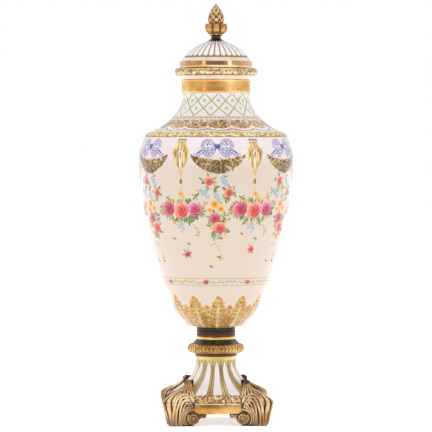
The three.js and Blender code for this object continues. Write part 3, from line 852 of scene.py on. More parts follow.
class Graph:
    """Node tree with short names for its nodes."""

    def __init__(self, tree):
        self.tree = tree

    def put(self, socket, value):
        """Links a value to a socket, or sets it to a number or to a colour of 0 to 255 parts."""
        if isinstance(value, Value):
            self.tree.links.new(value.socket, socket)
        else:
            socket.default_value = linear(value) if isinstance(value, tuple) else value

    def node(self, kind, inputs=(), **settings):
        """New node, with (name or number, value) pairs for its inputs."""
        node = self.tree.nodes.new(kind)
        for name, value in settings.items():
            setattr(node, name, value)
        for name, value in inputs:
            self.put(node.inputs[name], value)
        return node

    def value(self, node, output=0):
        return Value(self, node.outputs[output])

    def math(self, operation, *values):
        return self.value(self.node("ShaderNodeMath", enumerate(values), operation=operation))

    def step(self, value, low, high, out_low=0.0, out_high=1.0):
        """Soft step of a value between two limits."""
        names = ("Value", "From Min", "From Max", "To Min", "To Max")
        inputs = zip(names, (value, low, high, out_low, out_high))
        return self.value(self.node("ShaderNodeMapRange", inputs, interpolation_type="SMOOTHSTEP"))

    def mix(self, factor, a, b):
        """Colour between a and b."""
        inputs = ((0, factor), (6, a), (7, b))
        return self.value(self.node("ShaderNodeMix", inputs, data_type="RGBA", clamp_factor=True), 2)

    def blend(self, factor, a, b):
        """Number between a and b."""
        inputs = ((0, factor), (2, a), (3, b))
        return self.value(self.node("ShaderNodeMix", inputs, data_type="FLOAT", clamp_factor=True))

    def position(self):
        return self.value(self.node("ShaderNodeTexCoord"), "Object")

    def parts(self, vector):
        node = self.node("ShaderNodeSeparateXYZ", ((0, vector),))
        return [self.value(node, index) for index in range(3)]

    def place(self):
        """Place on the object in millimetres, as x, y and z."""
        return [part / MM for part in self.parts(self.position())]

    def noise(self, scale, detail=3.0, roughness=0.55):
        names = ("Scale", "Detail", "Roughness", "Vector")
        inputs = zip(names, (scale, detail, roughness, self.position()))
        return self.value(self.node("ShaderNodeTexNoise", inputs), "Fac")

    def attribute(self, name, output="Fac"):
        return self.value(self.node("ShaderNodeAttribute", attribute_name=name), output)

    def ramp(self, factor, stops, interpolation="LINEAR"):
        """Colour between (position, colour of 0 to 255 parts) stops."""
        node = self.node("ShaderNodeValToRGB", ((0, factor),))
        node.color_ramp.interpolation = interpolation
        elements = node.color_ramp.elements
        while len(elements) < len(stops):
            elements.new(0.5)
        for element, (position, colour) in zip(elements, stops):
            element.position = position
            element.color = linear(colour)
        return self.value(node, "Color")

    def shade(self, colour, roughness, metallic=0.0, **others):
        """Puts the look of the shader; the others are its inputs with underscores for spaces."""
        inputs = self.tree.nodes["Principled BSDF"].inputs
        others.update(Base_Color=colour, Roughness=roughness, Metallic=metallic)
        for name, value in others.items():
            self.put(inputs[name.replace("_", " ")], value)

    def bump(self, height, strength, distance):
        """Fine unevenness, its depth in millimetres."""
        inputs = (("Height", height), ("Strength", strength), ("Distance", distance * MM))
        normal = self.value(self.node("ShaderNodeBump", inputs), "Normal")
        self.put(self.tree.nodes["Principled BSDF"].inputs["Normal"], normal)


def new_material(name):
    material = bpy.data.materials.new(name)
    material.use_nodes = True
    return material, Graph(material.node_tree)


def motif_group():
    """Node group that draws one motif over what lies below it."""
    tree = bpy.data.node_groups.new("Painted motif", "ShaderNodeTree")
    for name, way, kind in (("Motif", "INPUT", "Vector"), ("Below", "INPUT", "Color"),
                            ("Gilt below", "INPUT", "Float"), ("Colour", "OUTPUT", "Color"),
                            ("Gilt", "OUTPUT", "Float")):
        tree.interface.new_socket(name, in_out=way, socket_type="NodeSocket" + kind)
    g = Graph(tree)
    given = g.node("NodeGroupInput")
    u, v, code = g.parts(g.value(given, "Motif"))
    kind = g.math("FLOOR", (code + 0.5) / CODE_BASE)
    hue = code - kind * CODE_BASE
    radius = g.math("SQRT", u * u + v * v)
    angle = g.math("ARCTAN2", v, u)
    across, along = abs(v), abs(u)

    def petals(count):
        return abs(g.math("COSINE", angle * (count / 2)))

    def is_kind(name):
        return g.math("COMPARE", kind, float(KINDS.index(name)), 0.4)

    def of_hue(colours):
        stops = [(index / CODE_BASE, colour) for index, colour in enumerate(colours)]
        return g.ramp((hue + 0.5) / CODE_BASE, stops, "CONSTANT")

    # Rose: rings of petals, dark in the heart, pale at the rim and lit from the upper left
    rings = g.math("FRACT", radius * 2.6 + g.math("SINE", angle * 3.0 + radius * 6.0) * 0.3)
    rose_tone = radius * 0.9 - 0.24 + (v - u) * 0.34 + (rings - 0.45) * 0.6

    daisy_tone = g.step(radius, 0.2, 0.34, -0.3, 0.0) + (radius + 0.2) * petals(11)

    # Leaf: a jagged edge, a dark midrib and one half in the light
    saw = g.math("PINGPONG", u + 1.0, 0.16) * 0.9
    leaf_mask = (across < (1.0 - u * u) * (1.0 - saw)) * (along < 1.0)
    leaf_tone = (g.step(v, -0.25, 0.25) * 0.65 + 0.2) * (1.0 - (across < 0.1) * 0.6)

    bar = (across < 1.0) * (along < 1.0)
    shine = g.math("SINE", u * 4.0) * 0.2 + 0.78
    ribbon_tone = (1.0 - g.step(across, 0.5, 0.68) * 0.92) * shine

    turn = (angle + math.pi) / FULL_TURN
    curl_mask = abs(radius - (turn * 0.56 + 0.3)) < turn * 0.06 + 0.07

    mask, tone = 0.0, 0.0
    for name, shape, shade in (
        ("rose", radius < petals(5) * 0.1 + 0.9, rose_tone),
        ("blossom", radius < petals(5) * 0.48 + 0.5, radius * 0.85 + 0.25),
        ("daisy", radius < petals(11) * 0.33 + 0.66, daisy_tone),
        ("leaf", leaf_mask, leaf_tone),
        ("stroke", bar, 0.85 - across * 0.6),
        ("ribbon", bar, ribbon_tone),
        ("dot", radius < 1.0, 1.0 - radius * 0.9),
        ("curl", curl_mask, turn * 0.5 + 0.35),
    ):
        mask = is_kind(name) * shape + mask
        tone = is_kind(name) * shade + tone
    dark, light = of_hue([row[1] for row in HUES]), of_hue([row[2] for row in HUES])
    gilt = of_hue([(255 * row[3],) * 3 for row in HUES])
    colour = g.mix(tone, dark, light)
    colour = g.mix(is_kind("blossom") * (radius < 0.24), colour, (232, 190, 70))
    g.node("NodeGroupOutput", (
        ("Colour", g.mix(mask, g.value(given, "Below"), colour)),
        ("Gilt", g.blend(mask, g.value(given, "Gilt below"), gilt)),
    ))
    return tree


def gold_colour(g, bright, deep):
    """Hand-laid gilding: slow change of tone, small worn specks and brush marks."""
    tone = g.mix(g.step(g.noise(18.0, 3.0, 0.5), 0.35, 0.65), deep, bright)
    return g.mix(g.step(g.noise(240.0, 4.0, 0.7), 0.6, 0.72, 0.0, 0.45), tone, (140, 92, 40))


def porcelain_colour(g):
    """Milk-white glaze, cooler and whiter towards the shoulder, with a painted lilac reflection where it
    turns away from the view.
    """
    cream = g.mix(g.step(g.place()[2], *COOL_LEVELS), (211, 195, 177), (240, 229, 231))
    milky = g.mix(g.step(g.noise(9.0, 4.0, 0.6), 0.4, 0.75, 0.0, 0.3), cream, (208, 191, 172))
    # Painted reflection: lilac where the glaze faces away from the view.
    edge_reflection = g.value(g.node("ShaderNodeLayerWeight", (("Blend", 0.3),)), "Facing")
    return g.mix(edge_reflection * 0.95, milky, (214, 199, 204))


def leafwork(g, size, stops, border, weight):
    """Small irregular leaves of a size in millimetres with dark borders, and 1 at the borders."""
    cells = g.node("ShaderNodeTexVoronoi", (("Scale", 1 / (size * MM)), ("Vector", g.position())))
    tone = g.ramp(g.parts(g.value(cells, "Color"))[0], stops)
    depth = g.step(g.value(cells, "Distance"), 0.4, 0.85)
    return g.mix(depth * weight, tone, border), depth


def folded(g, angle, middle, pitch):
    """Angle from the nearest of evenly spaced middle lines."""
    turns = (angle - middle) / pitch
    return (turns - g.math("ROUND", turns)) * pitch


def lay_swags(g, angle, z, colour, gilt):
    """Heavy garlands of gilt leaves, each hung between two ornaments."""
    share = folded(g, angle, SWAG_TURN, FULL_TURN / REPEATS) / SWAG_HALF_ANGLE
    swell = g.math("POWER", g.math("MAXIMUM", 1.0 - share * share, 0.0), 0.8)
    away = (z - (SWAG_LEVEL - swell * SWAG_DROP)) / (swell * SWAG_THICK + SWAG_THIN)
    ragged = (g.noise(330.0, 2.0) - 0.5) * 1.1
    mask = (abs(away) + ragged < 1.0) * (abs(share) < 1.0)
    tone, _ = leafwork(g, 3.3, ((0, (92, 62, 30)), (0.3, (146, 108, 60)), (0.55, (182, 144, 90)),
                                (0.8, (216, 182, 124)), (1, (242, 220, 170))), (56, 38, 16), 0.8)
    heavy = g.step(abs(share), 0.05, 0.6, 0.62, 0.0) * g.step(away, -1.0, 1.0, 1.0, 0.4)
    tone = g.mix(heavy, tone, (64, 42, 18))
    return g.mix(mask, colour, tone), g.blend(mask, gilt, 0.5)


def lay_medallions(g, angle, z, colour, gilt):
    """Oval scrollwork medallions on the shoulder, each over a white strip with a dark outline."""
    low, high = SCROLL_BAND
    half_length, half_height, lift = MEDALLION
    x = folded(g, angle, MEDALLION_TURN, FULL_TURN / MEDALLION_COUNT) * (MEDALLION_RADIUS / half_length)
    y = (z - ((low + high) / 2 + lift)) / half_height
    reach = x * x + y * y
    under = y < 0.1
    colour = g.mix(under * (reach < 2.05), colour, (134, 98, 60))
    colour = g.mix(under * (reach < 1.62), colour, (244, 236, 230))
    mask = reach + (g.noise(260.0, 2.0) - 0.5) * 1.5 < 1.0
    tone, _ = leafwork(g, 4.0, ((0, (118, 82, 42)), (0.3, (176, 134, 82)), (0.65, (216, 180, 126)),
                                (1, (246, 222, 184))), (112, 78, 42), 0.65)
    return g.mix(mask, colour, tone), g.blend(mask, gilt, 0.5)


def lay_acanthus(g, angle, z, colour, gilt):
    """Crown of jagged gilt leaves that covers the foot of the belly, each with a pale midrib."""
    pitch = FULL_TURN / ACANTHUS_COUNT
    grain, _ = leafwork(g, 2.6, ((0, (128, 84, 38)), (0.35, (186, 136, 68)), (0.7, (222, 176, 100)),
                                 (1, (246, 218, 158))), (140, 92, 42), 0.6)
    for middle, tip, lobes, rib_width, rib_tone, tint in (
        (ACANTHUS_TURN + pitch / 2, 239.0, 6.0, 2.0, (206, 176, 104), (206, 148, 90)),
        (ACANTHUS_TURN, 258.0, 8.0, 4.6, (150, 148, 90), (210, 164, 84)),
    ):
        away = abs(folded(g, angle, middle, pitch)) * (2 / pitch)
        rise = (z - belly_bottom) / (tip - belly_bottom)
        tooth = g.math("FRACT", rise * lobes - away * 0.8)
        room = g.math("POWER", g.math("MAXIMUM", 1.0 - rise, 0.0), 0.62)
        width = room * 1.42 * (tooth * 0.34 + 0.72)
        mask = (away < width) * (rise < 1.0)
        tone = g.mix(0.6, g.mix(g.step(tooth, 0.0, 0.9), (132, 84, 36), tint), grain)
        crease = g.step(tooth, 0.86, 0.97) * g.step(away, 0.12, 0.2)
        tone = g.mix(crease * 0.8, tone, (116, 74, 32))
        tone = g.mix(g.step(width - away, 0.0, 0.1, 0.6, 0.0), tone, (250, 220, 150))
        across = away * ((rise + 1.2) * (ACANTHUS_RADIUS * pitch / 2))
        rib = g.step(across + rise * 3.0, 0.7 * rib_width, rib_width, 1.0, 0.0)
        rib = rib * g.step(rise, 0.55, 0.8, 1.0, 0.0)
        tone = g.mix(rib * 0.85, tone, g.mix(g.step(g.noise(260.0), 0.4, 0.6), rib_tone, (214, 206, 160)))
        colour = g.mix(mask, colour, tone)
        gilt = g.blend(mask, gilt, 0.45 - rib * 0.4)
    return colour, gilt


def lay_lines(g, angle, z, colour):
    """Lattice of the neck, thin lines and a row of beads."""
    def near(level, half):
        return abs(z - level) < half

    level, start = LATTICE_CROSSING
    climb = (z - level) / LATTICE_PITCH
    cell = (angle - start) * (LATTICE_CELLS / FULL_TURN)
    rising = g.math("PINGPONG", cell + climb + 50.0, 0.5)
    falling = g.math("PINGPONG", cell - climb + 50.0, 0.5)
    line = g.math("MAXIMUM", rising < 0.05, falling < 0.05)
    inside = (z > LATTICE[0]) * (z < LATTICE[1])
    worn = g.step(g.noise(220.0), 0.3, 0.6, 0.7, 1.0)
    colour = g.mix(inside, colour, (234, 228, 218))
    colour = g.mix(line * inside * worn, colour, (142, 148, 66))
    for thin in LINE_LEVELS:
        colour = g.mix(near(thin, 0.75) * worn, colour, (170, 162, 100))
    for thin in (LATTICE[0] - 1.2, SCROLL_BAND[0] - 1.2):
        colour = g.mix(near(thin, 0.8) * worn, colour, (206, 178, 140))
    beads = near(BEAD_LINE, 1.3) * (g.math("PINGPONG", angle * (BEAD_COUNT / FULL_TURN), 0.5) < 0.26)
    return g.mix(beads, colour, (120, 92, 60))


def painted_material():
    """Glazed porcelain with enamel flowers, thin lines, a lattice and gilding."""
    material, g = new_material("Painted porcelain")
    x, y, z = g.place()
    angle = g.math("ARCTAN2", x, y * -1.0)
    colour, gilt = lay_lines(g, angle, z, porcelain_colour(g)), 0.0
    for lay in (lay_swags, lay_medallions, lay_acanthus):
        colour, gilt = lay(g, angle, z, colour, gilt)
    group = motif_group()
    for index in range(PAINT_LAYERS):
        inputs = (("Motif", g.attribute(f"paint_{index}", "Vector")), ("Below", colour), ("Gilt below", gilt))
        laid = g.node("ShaderNodeGroup", inputs, node_tree=group)
        colour, gilt = g.value(laid, "Colour"), g.value(laid, "Gilt")
    rough = g.blend(gilt, g.step(g.noise(45.0), 0.3, 0.7, 0.1, 0.17), 0.3)
    g.shade(colour, rough, gilt * 0.7, Coat_Weight=0.25, Coat_Roughness=0.05)
    g.bump(g.noise(20.0, 2.0), 0.04, 0.8)
    return material


def gold_material(name, bright, deep, smoothest, roughest):
    material, g = new_material(name)
    rough = g.step(g.noise(60.0, 4.0, 0.6), 0.3, 0.7, smoothest, roughest)
    g.shade(gold_colour(g, bright, deep), rough, 0.95)
    g.bump(g.noise(160.0, 3.0, 0.6), 0.12, 0.4)
    return material


def chased_material():
    """Gilt edge of small pressed leaves over a fine brown line."""
    material, g = new_material("Chased gold")
    tone, depth = leafwork(g, 3.4, ((0, (150, 118, 64)), (0.25, (200, 184, 112)), (0.5, (232, 204, 134)),
                                    (0.75, (248, 230, 178)), (1, (254, 244, 216))), (132, 102, 54), 0.7)
    above_line = g.step(g.place()[2], edge_bottom + 0.8, edge_bottom + 1.7)
    g.shade(g.mix(above_line, (132, 96, 52), tone), 0.3, 0.6)
    g.bump(1.0 - depth, 0.4, 0.5)
    return material


def rim_material():
    """Olive gilt rim of pressed leaves between two dark lines."""
    material, g = new_material("Chased rim")
    tone, depth = leafwork(g, 4.2, ((0, (150, 124, 72)), (0.3, (202, 172, 110)), (0.6, (230, 200, 146)),
                                    (1, (250, 232, 198))), (132, 108, 62), 0.8)
    rise = (g.place()[2] - rim_bottom) / RIM_HEIGHT
    line = g.step(abs(rise - 0.5), 0.38, 0.43)
    g.shade(g.mix(line, tone, gold_colour(g, (134, 104, 58), (92, 70, 36))), 0.28, 0.6)
    g.bump(1.0 - depth, 0.4, 0.6)
    return material


def frieze_material():
    """Small carved leaves in cream and gold over a ground darkened with painted shade."""
    material, g = new_material("Frieze")
    tone, depth = leafwork(g, 3.8, ((0, (118, 82, 42)), (0.3, (196, 150, 88)), (0.6, (226, 192, 130)),
                                    (1, (246, 226, 192))), (92, 66, 34), 0.7)
    hollow_shade = g.step(g.attribute("hollow_shade"), 0.45, 0.95)
    # Painted shade: dark brown in the hollows between the leaves.
    g.shade(g.mix(hollow_shade * 0.75, tone, (84, 60, 30)), 0.32, 0.45)
    g.bump(1.0 - depth, 0.6, 1.2)
    return material


def collar_material():
    """Dark brown glaze on the reeds under the belly."""
    material, g = new_material("Dark collar glaze")
    upper = g.step(g.place()[2], reed_bottom + 0.9 * REED_HEIGHT, reed_bottom + 1.1 * REED_HEIGHT)
    tone = g.mix(upper, (92, 42, 24), (46, 32, 18))
    g.shade(g.mix(g.step(g.noise(90.0), 0.5, 0.8, 0.0, 0.5), tone, (96, 70, 44)), 0.2, Specular_IOR_Level=0.3)
    g.bump(g.noise(30.0, 2.0), 0.05, 0.6)
    return material


def glaze_material():
    material, g = new_material("White glaze")
    g.shade(porcelain_colour(g), g.step(g.noise(40.0), 0.3, 0.7, 0.12, 0.22))
    g.bump(g.noise(22.0, 2.0), 0.05, 0.8)
    return material


def clay_material():
    material, g = new_material("Unglazed foot ring")
    g.shade(g.mix(g.noise(300.0, 4.0, 0.7), (226, 214, 198), (204, 188, 168)), 0.85)
    g.bump(g.noise(500.0, 3.0), 0.3, 0.3)
    return material


def carved_material(name, bright, deep, dark):
    """Gilding over carved relief with painted shade: dark and less metallic in the hollows, darker towards
    the ground.
    """
    material, g = new_material(name)
    # Painted shade in the hollows and near the ground.
    hollow_shade = g.step(g.attribute("hollow_shade") + (g.noise(130.0) - 0.5) * 0.7, 0.22, 0.85)
    ground_shade = g.step(g.place()[2], 0.0, SHADED_HEIGHT, 0.5, 0.0)
    gold = g.mix(ground_shade, gold_colour(g, bright, deep), (118, 78, 40))
    rough = g.step(g.noise(70.0, 4.0, 0.6), 0.3, 0.7, 0.22, 0.42)
    g.shade(g.mix(hollow_shade, gold, dark), rough, g.blend(hollow_shade, 0.9, 0.2))
    g.bump(g.noise(220.0, 4.0, 0.6), 0.25, 0.5)
    return material


def lobed_material(name, channel_bright, channel_deep, line, metal):
    """White lobes with gilt between them, with painted shade in the channels and on the lobes' sides."""
    material, g = new_material(name)
    edge = g.attribute("edge") + (g.noise(180.0) - 0.5) * 0.5
    white = g.step(edge, -0.15, 0.15)
    hollow_shade = g.step(g.attribute("hollow_shade"), 0.3, 1.0)
    # Painted shade: the channels darken towards the line colour and the lobes' sides darken.
    channel = g.mix(hollow_shade, gold_colour(g, channel_bright, channel_deep), line)
    porcelain = g.mix(hollow_shade * 0.4, (244, 235, 236), (214, 202, 194))
    outline = (1.0 - g.step(abs(edge), 0.25, 0.7)) * 0.75
    colour = g.mix(outline, g.mix(white, channel, porcelain), line)
    g.shade(colour, g.blend(white, 0.34, 0.14), (1.0 - white) * metal)
    g.bump(g.noise(120.0, 3.0), 0.1, 0.4)
    return material


def plain_glaze(name, light, dark, roughness):
    material, g = new_material(name)
    colour = g.mix(g.step(g.noise(60.0, 4.0), 0.35, 0.7), dark, light)
    g.shade(colour, g.step(g.noise(90.0), 0.3, 0.7, roughness, roughness + 0.08))
    g.bump(g.noise(50.0, 2.0), 0.06, 0.6)
    return material


MATERIALS = {
    "gold": gold_material("Burnished gold", (252, 212, 142), (214, 158, 86), 0.2, 0.4),
    "polished": gold_material("Polished gold", (246, 206, 160), (212, 158, 106), 0.08, 0.14),
    "chased": chased_material(),
    "rim": rim_material(),
    "collar": collar_material(),
    "glaze": glaze_material(),
    "clay": clay_material(),
    "painted": painted_material(),
    "carved": carved_material("Carved gold", (252, 222, 174), (178, 130, 82), (58, 32, 15)),
    "frieze": frieze_material(),
    "laurel": carved_material("Laurel gold", (238, 196, 122), (178, 124, 60), (62, 38, 14)),
    "calyx": carved_material("Calyx gold", (252, 214, 146), (204, 152, 84), (76, 46, 18)),
    "bud": carved_material("Bud gold", (240, 206, 150), (190, 140, 84), (82, 52, 26)),
    "rail": gold_material("Rail gold", (246, 200, 128), (206, 148, 76), 0.24, 0.42),
    "lip": plain_glaze("Pale rail edge", (246, 222, 200), (232, 200, 168), 0.25),
    "fillet": plain_glaze("Pale lid edge", (246, 228, 212), (236, 208, 184), 0.18),
    "olive": gold_material("Olive gold", (232, 208, 140), (186, 156, 84), 0.24, 0.42),
    "green": plain_glaze("Dark green glaze", (40, 62, 46), (20, 38, 28), 0.1),
    "stem": plain_glaze("Dark brown glaze", (70, 48, 28), (36, 24, 14), 0.14),
    "flutes": lobed_material("White flutes", (232, 210, 150), (182, 154, 88), (128, 102, 56), 0.45),
    "lobes": lobed_material("White lobes", (222, 214, 160), (176, 170, 116), (146, 138, 108), 0.3),
}


def dress(piece, node):
    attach(piece, "root")
    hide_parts(node)


def make_body():
    surface = Turned(body_zones(), BODY_COLUMNS)
    piece = make_object("vase_body", [surface.carved({})], (BODY_LOW, BODY_HIGH), paint_body(surface))
    dress(piece, "body")


def waves(value):
    """Distance to the nearest whole number, from 0 to 1."""
    return np.abs(value - np.round(value)) * 2


def share_between(value, low, high):
    return np.clip((value - low) / (high - low), 0, 1)


# Lid

def dome_radius(radius, share):
    return radius * (1 - share ** DOME_FULLNESS) ** (1 / DOME_FULLNESS)


def finial_zones():
    def placed(points):
        return [(radius, finial_bottom + share * finial_height) for radius, share in points]

    stem = smooth([(17.0, finial_bottom + 0.5), *placed([
        (12.5, 0.05), (10.2, 0.085), (9.6, 0.12), (11.2, 0.15), (13.0, 0.17),
    ])], 5)
    calyx = smooth(placed([
        (13.6, CALYX_SHARE), (16.3, 0.21), (21.0, 0.27), (22.6, 0.36), (21.4, 0.45), (20.2, 0.465),
    ]), 6)
    bud = np.array(placed([
        (BUD_RADIUS * math.sin(math.pi * (0.36 + 0.64 * share)) ** 0.95, BUD_SHARE + (1 - BUD_SHARE) * share)
        for share in np.linspace(0, 0.985, 34)
    ]))
    tip = np.array([bud[-1], (0, LID_HIGH[2])])
    return [("stem", stem), ("calyx", calyx), ("bud", bud), ("bud", tip)]


def lid_zones():
    """(material, outline) pairs from the crown of the inside down, over the skirt and up to the finial."""
    low = LID_LOW[2]
    throat = skirt_radius - SKIRT_WALL
    room = DOME_RADIUS - LOBE_DEPTH - LID_WALL
    inner = [(dome_radius(room, share), dome_bottom + (DOME_HEIGHT - LID_WALL) * share)
             for share in (0.94, 0.86, 0.78, 0.66, 0.55, 0.42, 0.3, 0.15, 0)]
    inside = np.array([(0, inner[0][1]), *inner, (room, lid_seat + 0.6 * LID_BAND_HEIGHT), (throat, lid_seat),
                       (throat, low)])
    skirt = np.array([(throat, low), (skirt_radius - 1, low), (skirt_radius, low + 1),
                      (skirt_radius, lid_seat), (LID_RADIUS - LID_BAND_BULGE, lid_seat)])
    band = bead(LID_RADIUS - LID_BAND_BULGE, lid_seat, lid_band_top, LID_BAND_BULGE, 16, 0.3)
    fillet = np.array([band[-1], (DOME_RADIUS + 1.6, lid_band_top + 0.4),
                       (DOME_RADIUS + 1, lid_band_top + 1.2), (DOME_RADIUS + 0.4, lid_band_top + 4),
                       (DOME_RADIUS, dome_bottom)])
    dome = np.array([(dome_radius(DOME_RADIUS, share), dome_bottom + DOME_HEIGHT * share)
                     for share in np.linspace(0, 0.93, 56)])
    return [("glaze", inside), ("clay", skirt), ("polished", band), ("fillet", fillet), ("lobes", dome),
            *finial_zones()]


def carve_dome(radius, level, share, angles):
    """White lobes, rounded at their lower ends and narrower towards the stem."""
    across = waves(angles * LOBE_COUNT / FULL_TURN)
    rise = (level - dome_bottom) / DOME_HEIGHT
    end = share_between(rise, 0.08, 0.18)
    width = 0.86 * math.sqrt(1 - (1 - end) ** 2) * (1 - 0.25 * rise) + 0.02
    lobe = np.sqrt(np.clip(1 - (across / max(width, 0.03)) ** 2, 0, 1)) * min(1, end * 3)
    depth = LOBE_DEPTH * (1 - rise) * 0.85 + 0.3
    # Painted shade darkens the sides of the lobes and the channels between them.
    return radius - depth * (1 - lobe), 1 - lobe, (width - across) * math.pi * radius / LOBE_COUNT


def carve_calyx(radius, level, share, angles):
    """Ring of ribbed leaves that opens upwards."""
    rise = (level - finial_bottom - CALYX_SHARE * finial_height) / CALYX_HEIGHT
    leaf = waves(angles * CALYX_LEAVES / FULL_TURN)
    vein = waves(angles * CALYX_VEINS / FULL_TURN + 0.25 * math.sin(9 * rise))
    relief = 0.5 + 4 * max(0, rise - 0.1)
    # Painted shade in the veins, in the gaps between the leaves and over the top of the calyx.
    hollow_shade = np.clip(0.75 * leaf ** 3 + 0.5 * vein + 0.9 * max(0, rise - 0.75), 0, 1)
    return radius - relief * leaf ** 2.2 - 0.9 * vein, hollow_shade, 0


def carve_bud(radius, level, share, angles):
    """Overlapping scales."""
    bottom = finial_bottom + BUD_SHARE * finial_height
    turns = angles * SCALE_COLUMNS / FULL_TURN
    rise = (level - bottom) / (LID_HIGH[2] - bottom) * SCALE_ROWS
    one = np.mod(rise + 0.55 * waves(turns), 1)
    two = np.mod(rise + 0.5 + 0.55 * waves(turns + 0.5), 1)
    scale = np.where(waves(turns) < 0.5, one, two)
    # Painted shade in the sunken lower part of each scale.
    return radius - 0.12 * radius * (1 - scale), np.clip(1.1 - 1.4 * scale, 0, 1), 0


def make_lid():
    surface = Turned(lid_zones(), LID_COLUMNS)
    grid = surface.carved({"lobes": carve_dome, "calyx": carve_calyx, "bud": carve_bud})
    dress(make_object("vase_lid", [grid], (LID_LOW, LID_HIGH)), "lid")


# Foot

def from_quarter(angles):
    """Angles from the nearest middle line of a side."""
    return angles - np.round(angles / UPRIGHT) * UPRIGHT


def square_reach(half, corner, squareness, angles):
    """Reach of a section between a circle and a square with drawn-out corners."""
    turn = from_quarter(angles)
    square = (half + corner * np.tan(turn) ** 2) / np.cos(turn)
    return half + (square - half) * squareness


def flare_row(share):
    radius = FLARE_TOP_RADIUS + (FLARE_REACH - FLARE_TOP_RADIUS) * share ** 2.3
    return radius, flare_top - FLARE_HEIGHT * share


def foot_zones():
    """(material, outline) pairs from the ceiling of the hollow down, out over the rail and up to the top."""
    hollow_half = RAIL_REACH - FOOT_WALL
    ceiling = foot_top - FOOT_ROOF
    narrowest = FLARE_TOP_RADIUS - FLUTE_DEPTH - FOOT_WALL + 2
    inner = [(max(half - FLUTE_DEPTH - FOOT_WALL, narrowest), max(level - 4, hollow_shoulder))
             for half, level in map(flare_row, np.linspace(0, 1, 9))]
    inside = np.array([(0, ceiling), (narrowest, ceiling), *inner, (hollow_half, rail_top - FOOT_WALL),
                       (hollow_half, rail_bottom)])
    rail = np.array([(hollow_half, rail_bottom), (RAIL_REACH - 0.6, rail_bottom),
                     (RAIL_REACH, rail_bottom + 0.6), (RAIL_REACH, rail_bottom + 8),
                     (RAIL_REACH, rail_top - 1.8)])
    lip = np.array([rail[-1], (RAIL_REACH - 0.4, rail_top - 0.6), (RAIL_REACH - 1.4, rail_top),
                    (FRIEZE_REACH + 0.4, rail_top)])
    frieze = np.column_stack([np.full(16, FRIEZE_REACH), np.linspace(rail_top, frieze_top, 16)])
    flare = np.array([flare_row(share) for share in np.linspace(1, 0, 66)])
    behind = GARLAND_RADIUS - GARLAND_BULGE
    olive_top = flare_top + 0.55 * NECKING_HEIGHT
    olive = np.array([(FLARE_TOP_RADIUS, flare_top), (FLARE_TOP_RADIUS + 0.2, flare_top + 3),
                      (FLARE_TOP_RADIUS + 0.6, olive_top)])
    ring = np.array([(NECKING_RADIUS, olive_top + 0.3), (NECKING_RADIUS + 0.4, olive_top + 3),
                     (NECKING_RADIUS, necking_top - 0.2)])
    garland = bead(behind, necking_top, garland_top, GARLAND_BULGE, GARLAND_STEPS)
    middle = (behind + 0.45 * (COLLAR_RADIUS - behind), garland_top + 0.4 * (foot_top - garland_top))
    scotia = smooth([(behind, garland_top), middle, (COLLAR_RADIUS, foot_top)], 6)
    top = np.array([(COLLAR_RADIUS, foot_top), (0, foot_top)])
    return [("clay", inside), ("rail", rail), ("lip", lip), ("frieze", frieze), ("flutes", flare),
            ("olive", olive), ("green", ring), ("laurel", garland), ("green", scotia), ("clay", top)]


def carve_hollow(radius, level, share, angles):
    """Hollow of the foot, square below and round above. The top of the foot stays round."""
    rise = share_between(flare_top - level, 0, FLARE_HEIGHT)
    squareness = 1.0 if level <= hollow_shoulder else float(rise) ** 0.8
    return square_reach(radius, 0, squareness, angles), 0, 0


def carve_rail(radius, level, share, angles):
    return square_reach(radius, 0, 1, angles), 0, 0


def carve_frieze(radius, level, share, angles):
    """Row of leaves with small ones between their tips."""
    height = (level - rail_top) / FRIEZE_HEIGHT
    leaf = waves(radius * np.tan(from_quarter(angles)) / FRIEZE_PITCH)
    lobe = np.clip(1 - leaf ** 2 - (height * 1.1 - 0.35) ** 2 * 1.6, 0, 1) ** 0.5
    vein = np.clip(1 - leaf / 0.12, 0, 1)
    small = np.clip(1 - (1 - leaf) ** 2 * 6 - (height - 0.75) ** 2 * 9, 0, 1) ** 0.5
    carved = np.maximum(lobe - 0.3 * vein, 0.8 * small)
    # Painted shade darkens the ground between the leaves.
    return square_reach(radius - 2.2 + 2.8 * carved, 0, 1, angles), 1 - carved, 0


def carve_flutes(radius, level, share, angles):
    """White convex flutes with gilt channels between them."""
    across = waves(angles * FLUTE_COUNT / FULL_TURN)
    drop = (flare_top - level) / FLARE_HEIGHT
    top_end = np.clip(drop / 0.22, 0, 1)
    foot_end = np.clip((1 - drop) / 0.06, 0, 1)
    width = 0.62 * top_end ** 0.8 * math.sqrt(1 - (1 - foot_end) ** 2 * 0.75) if drop < 0.985 else 0
    lobe = np.sqrt(np.clip(1 - (across / max(width, 0.02)) ** 2, 0, 1))
    channel = np.clip((across - width) / (1 - width + TINY), 0, 1)
    depth = FLUTE_DEPTH * min(1, drop / 0.2) * min(1, 0.4 + radius / FLARE_REACH)
    ridge = 1 - np.abs(2 * channel - 1)
    outside = square_reach(radius, FLARE_CORNER * drop, drop, angles)
    reach = np.minimum(outside - depth * (1 - lobe) + 0.8 * depth * ridge, outside)
    # Painted shade in the grooves beside the flutes and on the flutes' sides.
    hollow_shade = np.where(across > width, 0.9 - 0.7 * ridge, 0.3 * (1 - lobe))
    return reach, hollow_shade, (width - across) * radius * math.tan(math.pi / FLUTE_COUNT)


